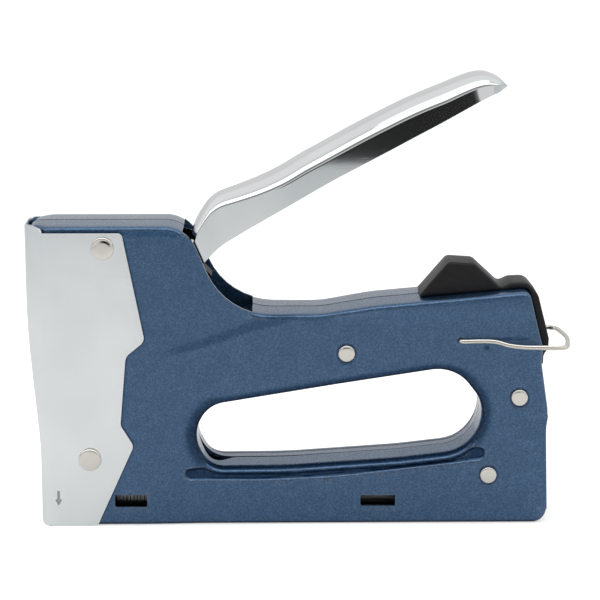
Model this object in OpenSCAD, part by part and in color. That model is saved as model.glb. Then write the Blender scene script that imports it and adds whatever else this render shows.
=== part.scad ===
// Hand staple gun: two pressed steel shells, a wrapped nose plate, a squeeze lever that lifts a
// spring-driven striker through a rocker, a rear-loading staple magazine and a wire lever lock.
// Every piece is drawn from the nose: x runs rearwards from the foot, z up from the base, y across.

/* [Body shells] */
// Thickness of the pressed steel of the shells
sheet = 1.2; // [1.0:0.1:1.4]
// Half the width of the body over the finger grip
half_w = 13.2; // [13.0:0.1:14.0]
// How far the front of each shell is pressed out beyond the grip
front_proud = 0.8; // [0.6:0.1:1.2]
// Gap between the two shells along the seam
seam_gap = 0.2; // [0.1:0.05:0.3]
// Height of the flat top of the front housing
front_top_z = 108.5; // [108:0.5:112]
// Height of the grip top behind the lever slot
grip_top_z = 76.9; // [76:0.1:78]
// Distance of the rear end from the nose foot
rear_x = 181.2; // [181:0.1:184]

/* [Nose plate] */
// Thickness of the nose plate
nose_t = 0.8; // [0.6:0.1:1.0]
// Half the width of the flat at the front of the nose
nose_flat = 6.0; // [5.5:0.1:7.0]
// How far the nose leans forward above the foot
nose_lean = 4.4; // [3.5:0.1:5.0]

/* [Rivets] */
// Shank radius of the lever pivot rivet
pivot_r = 2.5; // [2.0:0.1:2.8]
// Shank radius of the nose rivet
nose_rivet_r = 2.0; // [1.5:0.1:2.5]
// Shank radius of the body rivets
body_rivet_r = 1.6; // [1.2:0.1:1.8]
// Head radius of the two nose rivets
nose_head_r = 4.0; // [3.6:0.1:4.4]
// Head radius of the body rivets
body_head_r = 2.85; // [2.5:0.05:3.1]

/* [Lever] */
// Full width of the lever behind its neck
lever_w = 24; // [23:0.5:25]
// Width of the lever over its ears
lever_neck_w = 19.8; // [19.4:0.1:20.4]
// Thickness of the lever steel
lever_t = 1.5; // [1.2:0.1:1.6]
// Radius of the lever's long top edges
lever_edge_r = 7; // [4:0.5:8]

/* [Striking mechanism] */
// Width of the driver blade and of the staples that it drives
staple_w = 10.6; // [10.2:0.1:10.8]
// Thickness of the driver blade
blade_t = 1.0; // [0.8:0.05:1.1]
// Outer radius of the main spring
spring_r = 6.5; // [6.0:0.1:6.6]
// Wire radius of the main spring
spring_wire_r = 1.1; // [0.9:0.05:1.2]
// Coils of the main spring
spring_turns = 7; // [6:1:8]

/* [Magazine] */
// Leg length of the staples
staple_leg = 10; // [8:0.5:10]
// Wire size of the staples
staple_wire = 0.95; // [0.8:0.05:1.0]
// Length of the loaded strip of staples
strip_len = 74; // [50:1:90]
// Thickness of the magazine sheet
channel_t = 1.0; // [0.8:0.1:1.1]
// Radius of the pusher rod
rod_r = 1.2; // [1.0:0.05:1.3]

/* [Wire lock] */
// Wire radius of the bail
bail_r = 0.85; // [0.7:0.05:0.95]
// Distance from the bail's pivot to its crossbar
bail_reach = 39.5; // [39:0.5:41]

/* [Rear bumper] */
// Half the width of the plastic bumper
bumper_half_w = 7.5; // [6.5:0.1:8.5]
// Height of the bumper above the grip line
bumper_rise = 12.6; // [11:0.1:12.8]

/* [Hidden] */
$fn = 48;

// Clearances
fit = 0.05;         // round fits and pressed seats
slip = 0.3;         // pieces that slide past each other
arc_steps = 6;      // straight steps in each rounded corner of an outline
far = 60;           // reach of cutters past the body

// The part's origin lies on the base, midway between the nose and the bail
nose_x = -4.2;
bail_pivot = [149.2, 67.4];
bail_droop = 3.2;
bail_back_x = bail_pivot[0] + bail_reach * cos(bail_droop) + bail_r;
mid_x = (nose_x + bail_back_x) / 2;

// Widths
front_half_w = half_w + front_proud;
nose_half_w = front_half_w + nose_t;
inner_half = half_w - sheet;
front_inner_half = front_half_w - sheet;

// Places of the pins and rivets, as [x, z]
pivot = [23.8, 102.0];
nose_rivet_at = [18.0, 24.8];
body_rivets_at = [[109.1, 62.8], [170.6, 46.5], [160.0, 17.9]];
lifter_at = [41, 73];
push_pin_at = [53, 92];

// ---------------------------------------------------------------- outlines
function unit(v) = v / norm(v);
function left_of(v) = [-v[1], v[0]];
function at(list, i) = list[(i + len(list)) % len(list)];
function flat2(p) = [p[0], p[1]];

// One rounded corner: p and n are its neighbours, c is [x, z, radius]
function corner_arc(p, c, n) =
    let (u = unit(p - flat2(c)), v = unit(n - flat2(c)), half = acos(u * v) / 2)
    half > 89 ? [flat2(c)] :
    let (mid = flat2(c) + unit(u + v) * c[2] / sin(half),
         from = flat2(c) + u * c[2] / tan(half) - mid,
         to = flat2(c) + v * c[2] / tan(half) - mid,
         a0 = atan2(from[1], from[0]),
         sweep = (atan2(to[1], to[0]) - a0 + 540) % 360 - 180)
    [for (i = [0:arc_steps]) let (a = a0 + sweep * i / arc_steps) mid + c[2] * [cos(a), sin(a)]];

// An outline from corners given anticlockwise as [x, z, radius]
function rounded(list) =
    [for (i = [0:len(list) - 1]) each corner_arc(flat2(at(list, i - 1)), list[i], flat2(at(list, i + 1)))];

// The same corners moved inwards by d, or outwards where d is negative
function inset(list, d) =
    [for (i = [0:len(list) - 1])
        let (e = unit(flat2(list[i]) - flat2(at(list, i - 1))),
             f = unit(flat2(at(list, i + 1)) - flat2(list[i])),
             turn = e[0] * f[1] - e[1] * f[0],
             moved = flat2(list[i]) + d * (left_of(e) + left_of(f)) / (1 + e * f))
        [moved[0], moved[1], max(list[i][2] - sign(turn) * d, 0.15)]];

function mirrored(list) = [for (i = [len(list) - 1:-1:0]) [list[i][0], -list[i][1], list[i][2]]];

// Side outline of the body, anticlockwise from the foot
grip_rise = 8.0;
front_x = 0.2 + nose_t + fit;
lean_x = front_x - nose_lean;
rear_step_z = 40.5;
rear_top = [173.4, grip_top_z + grip_rise];
body_outline = [
    [front_x, 0, 3], [rear_x, 0, 5], [rear_x - 1.2, 35, 20], [rear_x - 1.2, rear_step_z, 0.2],
    [rear_x - 0.2, rear_step_z + 0.6, 0.2], [rear_x - 2.9, 58.5, 8], [rear_x - 2.5, 64.5, 6],
    [rear_top[0], rear_top[1], 1.8], [119, grip_top_z + 3.1, 40], [100, grip_top_z, 40],
    [66.6, grip_top_z, 25], [52.9, front_top_z, 12], [lean_x, front_top_z, 4.5],
    [lean_x, 75, 40], [front_x, 29, 20]
];

// Plan outline of the front, with the nose corners cut obliquely
function plan(half, d = 0) = inset([
    [200, -half, 0.2], [200, half, 0.2], [2.8, half, 4], [nose_x, nose_flat, 4],
    [nose_x, -nose_flat, 4], [2.8, -half, 4]
], d);

// The part of the side that is pressed out, down to the sweeping crease
proud_region = [
    [-20, -5, 0.2], [15.5, -5, 0.2], [30.2, 27, 3], [27.4, 37, 3], [28.6, 59, 3], [32.6, 62.6, 3],
    [42, 62.2, 20], [64.5, 69.2, 60], [88, 75.4, 20], [88, 125, 0.2], [-20, 125, 0.2]
];

finger_opening = [
    [54.6, 29.5, 7], [61.2, 20.2, 5], [110, 21.5, 200], [149.8, 27.4, 5], [158.6, 44.5, 7],
    [150.6, 57.6, 8], [106, 52.1, 300], [59.2, 42.4, 8], [54.4, 35.5, 5]
];

nose_outline = [
    [0.2, 0, 3.4], [20.2, 0, 1.6], [33.6, 29.6, 3], [29.0, 37.2, 3], [31.2, 62.2, 4], [38.0, 67.8, 3.2],
    [30.5, 106.5, 1.6], [2.5, 106.5, 2], [-0.6, front_top_z - 0.1, 1], [nose_x, front_top_z - 0.1, 3],
    [nose_x, 75, 40], [0.2, 29, 20]
];

// Side outline of the lever, raised. The underside is lowered by drop to open its channel downwards.
function lever_outline(drop = 0) = [
    [21, 99.4, 1.5], [49.2, 87.6, 3.5], [52.4, 87.2, 3], [59.4, 94.2 - drop, 1.5], [65.4, 100.8 - drop, 4],
    [156.6, 152.3 - drop, 5], [163.2, 154.6 - drop, 2], [165.3, 157.4, 1.2], [161.6, 159.4, 3],
    [154.8, 161.6, 5], [107, 139.9, 300], [66.2, 119.2, 9], [58.2, 113.0, 4], [54.2, 104.0, 1],
    [43, 106.5, 6], [21, 106.5, 2]
];
lever_plan_half = [[0, lever_neck_w / 2, 0.2], [60, lever_neck_w / 2, 20], [86, lever_w / 2, 60],
    [165.4, lever_w / 2, 11.2]];
function lever_plan(d = 0) = inset(concat(mirrored(lever_plan_half), lever_plan_half), -d);
crown_slope = 26.3;
crown_start = [58, 115.4];

// ---------------------------------------------------------------- shared shapes
module in_place() { translate([-mid_x, 0, 0]) children(); }

// A side outline given thickness from y0 to y1
module slab(y0, y1, points) {
    translate([0, y1, 0]) rotate([90, 0, 0]) linear_extrude(y1 - y0) polygon(points);
}

module block(x0, x1, y0, y1, z0, z1) {
    translate([x0, y0, z0]) cube([x1 - x0, y1 - y0, z1 - z0]);
}

// A cylinder across the body, centred on the seam
module across(place, radius, half_len) {
    translate([place[0], half_len, place[1]]) rotate([90, 0, 0]) cylinder(r = radius, h = 2 * half_len);
}

// A domed rivet head whose flat side lies at y = seat, pointing to -y
module rivet_head(place, radius, rise, seat) {
    ball = (radius * radius + rise * rise) / (2 * rise);
    translate([place[0], -seat, place[1]]) rotate([90, 0, 0]) intersection() {
        translate([0, 0, rise - ball]) sphere(r = ball, $fn = 96);
        cylinder(r = radius + 1, h = rise + 1);
    }
}

// A rivet right through the body with a dome on each side
module through_rivet(place, shank_r, head_r, rise, seat) {
    across(place, shank_r, seat);
    for (side = [0, 1]) mirror([0, side, 0]) rivet_head(place, head_r, rise, seat);
}

// A round wire swept along points, each ring turned to the path
module swept_wire(path, radius, sides) {
    n = len(path);
    rings = [for (i = [0:n - 1])
        let (t = unit(path[min(i + 1, n - 1)] - path[max(i - 1, 0)]),
             across = abs(t[2]) > 0.9 ? [0, 1, 0] : [0, 0, 1],
             u = unit(cross(t, across)), v = cross(t, u))
        each [for (k = [0:sides - 1]) let (a = 360 * k / sides) path[i] + radius * (u * cos(a) + v * sin(a))]];
    walls = [for (i = [0:n - 2]) for (k = [0:sides - 1])
        let (a = i * sides + k, b = i * sides + (k + 1) % sides)
        each [[a, b + sides, b], [a, a + sides, b + sides]]];
    polyhedron(points = rings, faces = concat(walls, [[for (k = [0:sides - 1]) k]],
        [[for (k = [sides - 1:-1:0]) (n - 1) * sides + k]]));
}

// Points of a coil about +z from height z0 to z1
function coil(mid_r, turns, z0, z1, per_turn) =
    [for (i = [0:turns * per_turn]) let (a = 360 * i / per_turn)
        [mid_r * cos(a), mid_r * sin(a), z0 + (z1 - z0) * i / (turns * per_turn)]];

// ---------------------------------------------------------------- body
window_z = 6.7;
window_h = 4.4;
windows_x = [[26.5, 38.0], [114.3, 126.7]];
lever_cut = [51, 77.2];
driver_x = 2.2;
guide_half = staple_w / 2 + 1.9;
guide_top_z = 46;
raceway_half = guide_half + slip;
lug_x = [141, 159];
lug_half = 4;

// The left shell, on the -y side
module shell_half() {
    difference() {
        union() {
            intersection() {
                difference() {
                    union() {
                        slab(-half_w, -seam_gap / 2, rounded(body_outline));
                        intersection() {
                            slab(-front_half_w, -seam_gap / 2, rounded(body_outline));
                            slab(-front_half_w, 0, rounded(proud_region));
                        }
                    }
                    shell_cavity();
                }
                linear_extrude(front_top_z + 1) polygon(rounded(plan(nose_half_w, nose_t + fit)));
            }
            slab(-half_w, -seam_gap / 2, rounded(inset(finger_opening, -sheet)));
        }
        slab(-far, far, rounded(finger_opening));
        // lever slot in the top, staple exit at the foot and open slot at the rear
        block(lever_cut[0], lever_cut[1], -front_inner_half, 1, grip_top_z - 4, front_top_z + 5);
        block(-10, 5.6, -raceway_half, 1, -1, guide_top_z - 2);
        block(rear_x - 3.2, rear_x + 5, -inner_half, 1, sheet, rear_step_z);
        for (w = windows_x) slab(-far, 0, rounded([[w[0], window_z, 1], [w[1], window_z, 1],
            [w[1], window_z + window_h, 1], [w[0], window_z + window_h, 1]]));
        block(lug_x[0] - slip, lug_x[1] + slip, -lug_half - slip, 1, grip_top_z - 2, grip_top_z + 12);
        across(pivot, pivot_r + fit, far);
        across(nose_rivet_at, nose_rivet_r + fit, far);
        for (p = body_rivets_at) across(p, body_rivet_r + fit, far);
        across(bail_pivot, bail_r + fit, far);
    }
}

module shell_cavity() {
    intersection() {
        union() {
            slab(-inner_half, 1, rounded(inset(body_outline, sheet)));
            intersection() {
                slab(-front_inner_half, 1, rounded(inset(body_outline, sheet)));
                slab(-front_inner_half, 1, rounded(inset(proud_region, sheet)));
            }
        }
        linear_extrude(front_top_z + 1) polygon(rounded(plan(nose_half_w, nose_t + fit + sheet)));
    }
}

module left_shell() { color("#46607f") in_place() shell_half(); }

module right_shell() { color("#46607f") in_place() mirror([0, 1, 0]) shell_half(); }

module nose_plate() {
    color("#dfe3e4") in_place() difference() {
        intersection() {
            slab(-far, far, rounded(nose_outline));
            translate([0, 0, -1]) linear_extrude(front_top_z + 2) polygon(rounded(plan(nose_half_w)));
        }
        intersection() {
            slab(-far, far, [[0.2 + nose_t, -5], [far, -5], [far, front_top_z + 5],
                [nose_x + nose_t, front_top_z + 5], [nose_x + nose_t, 75], [0.2 + nose_t, 29]]);
            translate([0, 0, -5]) linear_extrude(front_top_z + 10) polygon(rounded(plan(nose_half_w, nose_t)));
        }
        across(pivot, pivot_r + fit, far);
        across(nose_rivet_at, nose_rivet_r + fit, far);
    }
}

module pivot_rivet() {
    color("#d8d2c4") in_place() through_rivet(pivot, pivot_r, nose_head_r, 1.4, nose_half_w);
}

module nose_rivet() {
    color("#d8d2c4") in_place() through_rivet(nose_rivet_at, nose_rivet_r, nose_head_r, 1.4, nose_half_w);
}

module body_rivets() {
    color("#d8d2c4") in_place() for (p = body_rivets_at) {
        through_rivet(p, body_rivet_r, body_head_r, 1.0, half_w);
        // the shoulder holds the shells apart
        across(p, body_rivet_r + 0.6, inner_half - fit);
    }
}

// ---------------------------------------------------------------- striking mechanism
cheek_in = spring_r + 0.4;
cheek_out = cheek_in + 1.1;
ear_in = lever_neck_w / 2 - lever_t;
bush_r = pivot_r + fit + 1.05;
lifter_pin_r = 2.0;
driver_axis_x = 10.5;
bumper_z = 45.2;
bumper_h = 4;
plunger_z = bumper_z + bumper_h + slip;
plunger_top = plunger_z + 17;
spring_top = 100.2;
cap_h = 1.2;
hook_z = plunger_z + 9.5;
tip_r = 2.4;
tip_at = [driver_axis_x + 0.7, hook_z - tip_r - 0.15];
push_pin_r = 3.0;
arm_rise = 2.0;
// The rocker's rear arm lies under the push pin while the lever is raised
arm_reach = norm(push_pin_at - lifter_at);
arm_tilt = atan2(push_pin_at[1] - lifter_at[1], push_pin_at[0] - lifter_at[0])
    - asin((push_pin_r + arm_rise) / arm_reach);
front_reach = norm(tip_at - lifter_at);
front_tilt = atan2(lifter_at[1] - tip_at[1], lifter_at[0] - tip_at[0]);

frame_outline = [
    [4.4, 15, 1.5], [26, 15, 3], [27, 44, 14], [45.4, 64, 5], [45.4, 74.5, 4], [30.5, 93, 8],
    [29.2, front_top_z - sheet - 0.7, 3], [4.4, front_top_z - sheet - 0.7, 1.5]
];

module mechanism_frame() {
    color("#8f9498") in_place() difference() {
        union() {
            for (side = [0, 1]) mirror([0, side, 0]) slab(cheek_in, cheek_out, rounded(frame_outline));
            block(4.4, 24, -cheek_in - 0.2, cheek_in + 0.2, bumper_z - 1.2, bumper_z);
            block(4.4, 17.4, -cheek_in - 0.2, cheek_in + 0.2, spring_top + cap_h, spring_top + cap_h + 1.2);
        }
        across(pivot, bush_r + fit, far);
        across(nose_rivet_at, nose_rivet_r + fit, far);
        across(lifter_at, lifter_pin_r + fit, far);
    }
}

module driver_guide() {
    color("#9aa0a4") in_place() difference() {
        block(1.1, 4.3, -guide_half, guide_half, 1.4, guide_top_z);
        // slideway of the blade, open downwards
        block(driver_x - slip, driver_x + blade_t + slip, -staple_w / 2 - slip, staple_w / 2 + slip, -1, far);
        // staples enter below the back plate, between the side rails
        block(driver_x, far, -staple_w / 2 - slip, staple_w / 2 + slip, -1, 14.2);
        block(driver_x + blade_t + slip, far, -far, far, -1, 14.2);
    }
}

module bumper_pad() {
    half = cheek_in - slip;
    color("#2a2a2c") in_place() block(5, 16.4, -half, half, bumper_z, bumper_z + bumper_h);
}

module spring_cap() {
    color("#9aa0a4") in_place() translate([driver_axis_x, 0, spring_top]) union() {
        cylinder(r = spring_r, h = cap_h);
        translate([0, 0, -4]) cylinder(r = spring_r - 2 * spring_wire_r - slip, h = 4 + cap_h);
    }
}

module main_spring() {
    color("#5d6064") in_place() translate([driver_axis_x, 0, 0])
        swept_wire(coil(spring_r - spring_wire_r, spring_turns, plunger_top + spring_wire_r + 0.1,
            spring_top - spring_wire_r - 0.1, 20), spring_wire_r, 8);
}

module plunger() {
    back_x = driver_axis_x + spring_r;
    blade_back = driver_x + blade_t;
    color("#a2a6a8") in_place() slab(-cheek_in + slip, cheek_in - slip, [
        [blade_back, plunger_z], [driver_axis_x + 4.5, plunger_z], [driver_axis_x + 4.5, plunger_z + 2],
        [blade_back + 1.15, plunger_z + 2], [blade_back + 1.15, hook_z], [tip_at[0] + 1.4, hook_z],
        [back_x, hook_z + 4], [back_x, plunger_top], [blade_back, plunger_top]
    ]);
}

module driver_blade() {
    color("#b9bdbf") in_place() block(driver_x, driver_x + blade_t, -staple_w / 2, staple_w / 2,
        0.6, plunger_top - 2);
}

module lifter() {
    half = cheek_in - 1.9;
    arm_half = half - 0.4;
    rear_len = 26;
    color("#a2a6a8") in_place() difference() {
        union() {
            across(lifter_at, 4.6, half);
            // front arm, ending in a round nose under the plunger's hook
            across(tip_at, tip_r, half);
            translate([lifter_at[0], 0, lifter_at[1]]) rotate([0, -front_tilt, 0])
                block(-front_reach, 0, -arm_half, arm_half, 0.2 - tip_r, tip_r - 1.4);
            // rear arm, its top face under the push pin
            translate([lifter_at[0], 0, lifter_at[1]]) rotate([0, -arm_tilt, 0])
                block(0, rear_len, -arm_half, arm_half, arm_rise - 5, arm_rise - 0.1);
        }
        across(lifter_at, lifter_pin_r + fit, far);
    }
}

module lifter_pin() { color("#d0d2d2") in_place() across(lifter_at, lifter_pin_r, cheek_out - 0.05); }

module pivot_bush() {
    color("#c8b070") in_place() difference() {
        across(pivot, bush_r, front_inner_half - fit);
        across(pivot, pivot_r + fit, far);
    }
}

module lever_spring() {
    mid_r = bush_r + 0.9;
    wire_r = 0.55;
    turns = 3;
    first_y = -cheek_in + wire_r + slip;
    pitch = 2 * wire_r + 0.15;
    ramp = atan2(push_pin_at[1] - push_pin_r - pivot[1], push_pin_at[0] - pivot[0]);
    leg_end = push_pin_at + (push_pin_r + wire_r + slip) * [sin(ramp), -cos(ramp)] - [pivot[0], pivot[1]];
    leg_start = ramp - 90 + asin(mid_r / norm(leg_end)) - 4;
    color("#5d6064") in_place() translate([pivot[0], 0, pivot[1]])
        swept_wire(concat(
            [[leg_end[0], first_y, leg_end[1]]],
            [for (i = [0:turns * 16]) let (a = leg_start - 360 * i / 16)
                [mid_r * cos(a), first_y + pitch * i / 16, mid_r * sin(a)]],
            [let (a = leg_start - 8)
                [mid_r * cos(a) - 4.5, first_y + pitch * turns + 0.2, mid_r * sin(a) - 0.6]]
        ), wire_r, 6);
}

// ---------------------------------------------------------------- lever
// The long rounded back of the lever, taken in by d
module lever_back(d) {
    half = lever_w / 2 - d;
    edge = lever_edge_r - d;
    union() {
        translate([crown_start[0], 0, crown_start[1]]) rotate([0, -crown_slope, 0]) translate([-30, 0, -d])
            rotate([90, 0, 90]) linear_extrude(170) polygon(rounded([
                [-half, -60, 0.2], [half, -60, 0.2], [half, 0, edge], [-half, 0, edge]]));
        block(0, crown_start[0] - 2, -far, far, 60, 109);
    }
}

module lever_solid(drop, d) {
    intersection() {
        slab(-lever_w / 2 + d, lever_w / 2 - d, rounded(inset(lever_outline(drop), d)));
        translate([0, 0, 40]) linear_extrude(140) polygon(rounded(lever_plan(d)));
        lever_back(d);
    }
}

module lever() {
    neck_x = 55.3;
    color("#dfe3e4") in_place() difference() {
        union() {
            difference() {
                lever_solid(0, 0);
                lever_solid(24, lever_t);
                // the ears stand apart in front of the neck
                slab(-ear_in, ear_in, [[0, 60], [60, 60], [60, 98], [neck_x - 3.6, 98],
                    [neck_x, 106.5], [neck_x + 3, 113], [neck_x + 3, 125], [0, 125]]);
            }
            slab(-ear_in - 0.2, ear_in + 0.2, [[neck_x - 3.6, 98], [neck_x - 2.0, 98],
                [neck_x + 1.9, 107.2], [neck_x + 0.3, 107.2]]);
            for (side = [0, 1]) mirror([0, side, 0])
                slab(ear_in, ear_in + lever_t, [for (a = [0:15:345]) pivot + 4.9 * [cos(a), sin(a)]]);
        }
        across(pivot, bush_r + fit, far);
        across(push_pin_at, push_pin_r - 1.2 + fit, far);
    }
}

module push_pin() {
    color("#d0d2d2") in_place() union() {
        across(push_pin_at, push_pin_r - 1.2, ear_in + lever_t);
        across(push_pin_at, push_pin_r, ear_in - 0.1);
    }
}

// ---------------------------------------------------------------- magazine
floor_z = sheet + 0.05;
rail_z = floor_z + channel_t;
crown_top = 2.4 + staple_leg;
rail_top = crown_top - staple_wire - 0.1;
rail_half = staple_w / 2 - staple_wire * 1.25 - 0.15;
rail_t = 0.9;
channel_in = staple_w / 2 + 1.3;
mag_front = 6;
mag_rear = 174;
strip_x0 = driver_x + blade_t + 0.7;
rod_z = 7.2;
slot_half = 1.1;
follower_x = strip_x0 + strip_len + slip;
follower_len = 11.7;
handle_x = 168.5;

module staple_channel() {
    wall_top = crown_top + 1.2;
    color("#9aa0a4") in_place() difference() {
        union() {
            block(mag_front, mag_rear, -inner_half + 0.2, inner_half - 0.2, floor_z, rail_z);
            for (side = [0, 1]) mirror([0, side, 0])
                block(mag_front, mag_rear, channel_in, channel_in + channel_t, floor_z, wall_top);
        }
        for (w = windows_x) slab(-far, far, rounded([[w[0], window_z, 1], [w[1], window_z, 1],
            [w[1], window_z + window_h, 1], [w[0], window_z + window_h, 1]]));
    }
}

module staple_rail() {
    color("#b4b8ba") in_place() difference() {
        block(mag_front - 1.4, mag_rear - 6, -rail_half, rail_half, rail_z, rail_top);
        block(mag_front - 2, mag_rear, -rail_half + rail_t, rail_half - rail_t, rail_z - 1, rail_top - rail_t);
        block(mag_front + 6, mag_rear, -slot_half, slot_half, rail_z, rail_top + 1);
    }
}

module staple_strip() {
    leg_t = staple_wire * 1.25;
    color("#cfd2d3") in_place() difference() {
        block(strip_x0, strip_x0 + strip_len, -staple_w / 2, staple_w / 2, crown_top - staple_leg, crown_top);
        block(0, far * 3, -staple_w / 2 + leg_t, staple_w / 2 - leg_t, 0, crown_top - staple_wire);
    }
}

module follower() {
    saddle_in = rail_half + slip;
    color("#c8b070") in_place() difference() {
        union() {
            difference() {
                block(follower_x, follower_x + follower_len, -staple_w / 2, staple_w / 2, 4, crown_top + 0.8);
                block(0, far * 3, -saddle_in, saddle_in, 0, rail_top + slip);
            }
            block(follower_x, follower_x + follower_len, -0.8, 0.8, rod_z, rail_top + slip + 0.2);
            block(follower_x, follower_x + follower_len, -rail_half + rail_t + slip, rail_half - rail_t - slip,
                rod_z - 3, rail_top - rail_t - slip);
        }
        translate([0, 0, rod_z]) rotate([0, 90, 0]) cylinder(r = rod_r + fit, h = far * 3);
    }
}

module follower_spring() {
    wire_r = 0.32;
    color("#5d6064") in_place() translate([follower_x + follower_len, 0, rod_z]) rotate([0, 90, 0])
        swept_wire(coil(rod_r + 0.3 + wire_r, 22, wire_r + 0.1,
            handle_x - follower_x - follower_len - wire_r - 0.1, 10), wire_r, 5);
}

module pusher_rod() {
    color("#b9bdbf") in_place() translate([0, 0, rod_z]) rotate([0, 90, 0]) union() {
        translate([0, 0, 13.9]) cylinder(r = rod_r, h = handle_x + 3 - 13.9);
        translate([0, 0, 12]) cylinder(r = rod_r + 0.8, h = 2);
    }
}

module pull_handle() {
    color("#8f9498") in_place() difference() {
        union() {
            block(handle_x, handle_x + 6, -channel_in + slip, channel_in - slip, rail_z + 0.15, crown_top + 1);
            block(handle_x + 6, handle_x + 8.6, -9, 9, rail_z + 0.15, 24);
            block(handle_x + 6, handle_x + 11.2, -9, 9, 21.6, 24);
        }
        translate([0, 0, rod_z]) rotate([0, 90, 0]) cylinder(r = rod_r + fit, h = handle_x + 3 + fit);
        block(handle_x + 5, far * 4, -4, 4, 14, 19);
    }
}

// ---------------------------------------------------------------- rear bumper and wire lock
bumper_outline = [
    [133.8, 80.6, 0.3], [145.2, grip_top_z + 5 + bumper_rise, 2.5], [154.4, grip_top_z + 4.4 + bumper_rise, 3],
    [163.8, 85.0, 2], [167.6, 87.5, 4], [173.6, 87.8, 3], [177.4, 82.6, 4], [rear_x + 0.2, 66.5, 1.5],
    [rear_x + 0.1, 63.2, 1], [rear_x - 1.6, 60.4, 0.5], [rear_x - 1.8, 57, 0.3], [168, 57, 0.3], [168, 74, 2]
];

module rear_bumper() {
    turned = [for (i = [len(bumper_outline) - 1:-1:0]) bumper_outline[i]];
    lug_z = grip_top_z + 4.5;
    color("#262628") in_place() union() {
        difference() {
            slab(-bumper_half_w, bumper_half_w, rounded(turned));
            slab(-far, far, rounded(inset(body_outline, -0.02)));
        }
        block(lug_x[0], lug_x[1], -lug_half, lug_half, lug_z - 5, grip_top_z + 7.5);
    }
}

bail_y = half_w + slip + bail_r;
bail_far_y = bail_y + 2.0;

module bail() {
    drop = bail_reach * sin(bail_droop);
    back = bail_back_x - bail_r;
    elbow = 1.2;
    bend = 2.2;
    leg = [
        for (a = [0:18:90]) [bail_pivot[0] + elbow * (1 - cos(a)), bail_y - elbow * (1 - sin(a)), 0],
        [161.3, bail_y, 0], [162.6, bail_y + 0.2, -0.2],
        [165.2, bail_far_y - 0.2, -1.4], [166.6, bail_far_y, -1.6], [back - 1.3 - bend, bail_far_y, 0.1 - drop],
        for (a = [15:15:75]) [back - 1.3 - bend * (1 - sin(a)), bail_far_y - bend * (1 - cos(a)), -drop]
    ];
    // half of the crossbar, bowed rearwards towards the seam
    bar = [for (y = [bail_far_y - bend:-3.4:0]) [back - 1.3 * pow(y / bail_far_y, 2), y, -drop]];
    side = [for (p = concat(leg, bar)) p + [0, 0, bail_pivot[1]]];
    other = [for (i = [len(side) - 1:-1:0]) [side[i][0], -side[i][1], side[i][2]]];
    color("#d8d2c4") in_place() union() {
        swept_wire(concat(side, other), bail_r, 12);
        // round ends that turn in the shells
        for (k = [0, 1]) mirror([0, k, 0]) translate([bail_pivot[0], bail_y - elbow + 0.15, bail_pivot[1]])
            rotate([90, 0, 0]) cylinder(r = bail_r + 0.02, h = bail_y - elbow + 1.15 - inner_half);
    }
}

left_shell();
right_shell();
nose_plate();
pivot_rivet();
nose_rivet();
body_rivets();
mechanism_frame();
driver_guide();
bumper_pad();
spring_cap();
main_spring();
plunger();
driver_blade();
lifter();
lifter_pin();
pivot_bush();
lever();
push_pin();
lever_spring();
staple_channel();
staple_rail();
staple_strip();
follower();
follower_spring();
pusher_rod();
pull_handle();
rear_bumper();
bail();
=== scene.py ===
"""Looks of the hand staple gun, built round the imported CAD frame.

Sizes are millimetres measured from the nose foot: x runs rearwards, z up from the base and y across,
with the seam between the two shells at y = 0. MeshDraft turns them into metres in the CAD frame.
"""
import logging
import math
from collections.abc import Callable, Sequence
from dataclasses import dataclass, field
from enum import Enum

import bmesh
import bpy
import numpy as np
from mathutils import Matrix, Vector
from mathutils.geometry import delaunay_2d_cdt


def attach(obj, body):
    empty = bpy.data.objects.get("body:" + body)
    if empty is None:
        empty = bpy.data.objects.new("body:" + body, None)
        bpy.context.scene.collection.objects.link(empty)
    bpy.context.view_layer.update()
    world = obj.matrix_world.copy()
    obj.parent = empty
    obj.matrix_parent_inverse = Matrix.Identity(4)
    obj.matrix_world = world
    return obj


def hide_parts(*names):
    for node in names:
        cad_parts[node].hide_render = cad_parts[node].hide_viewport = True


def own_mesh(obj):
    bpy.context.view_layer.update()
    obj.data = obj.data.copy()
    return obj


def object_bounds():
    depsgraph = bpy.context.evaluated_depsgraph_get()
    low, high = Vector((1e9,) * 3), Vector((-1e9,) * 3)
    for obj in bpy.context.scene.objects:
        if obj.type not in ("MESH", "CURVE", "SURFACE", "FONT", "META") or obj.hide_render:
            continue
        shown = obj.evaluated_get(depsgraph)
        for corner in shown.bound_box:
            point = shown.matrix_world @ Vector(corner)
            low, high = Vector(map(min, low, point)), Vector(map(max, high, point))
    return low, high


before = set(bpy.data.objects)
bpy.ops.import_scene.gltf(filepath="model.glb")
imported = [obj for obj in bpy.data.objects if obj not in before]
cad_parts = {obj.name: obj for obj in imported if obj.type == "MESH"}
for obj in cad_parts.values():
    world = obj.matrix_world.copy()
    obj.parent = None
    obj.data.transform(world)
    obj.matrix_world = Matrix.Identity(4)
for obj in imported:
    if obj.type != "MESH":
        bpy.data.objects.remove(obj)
LOG = logging.getLogger("staple_gun")
CAD_LOW, CAD_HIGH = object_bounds()

MM = 0.001
NOSE_LEAN = 4.2
MID_X = -NOSE_LEAN - CAD_LOW.x / MM

Corner = tuple[float, float, float]
Path2 = Sequence[tuple[float, float]]


class Side(Enum):
    """Side of the seam, with the sign of y on it."""

    LEFT = -1
    RIGHT = 1


# ---------------------------------------------------------------- outlines
def unit_rows(v: np.ndarray) -> np.ndarray:
    """Scales each row to length one."""
    return v / np.maximum(np.linalg.norm(v, axis=-1, keepdims=True), 1e-12)


def smooth_step(t: np.ndarray) -> np.ndarray:
    """Eased ramp from 0 to 1."""
    t = np.clip(t, 0.0, 1.0)
    return t * t * (3.0 - 2.0 * t)


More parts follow.
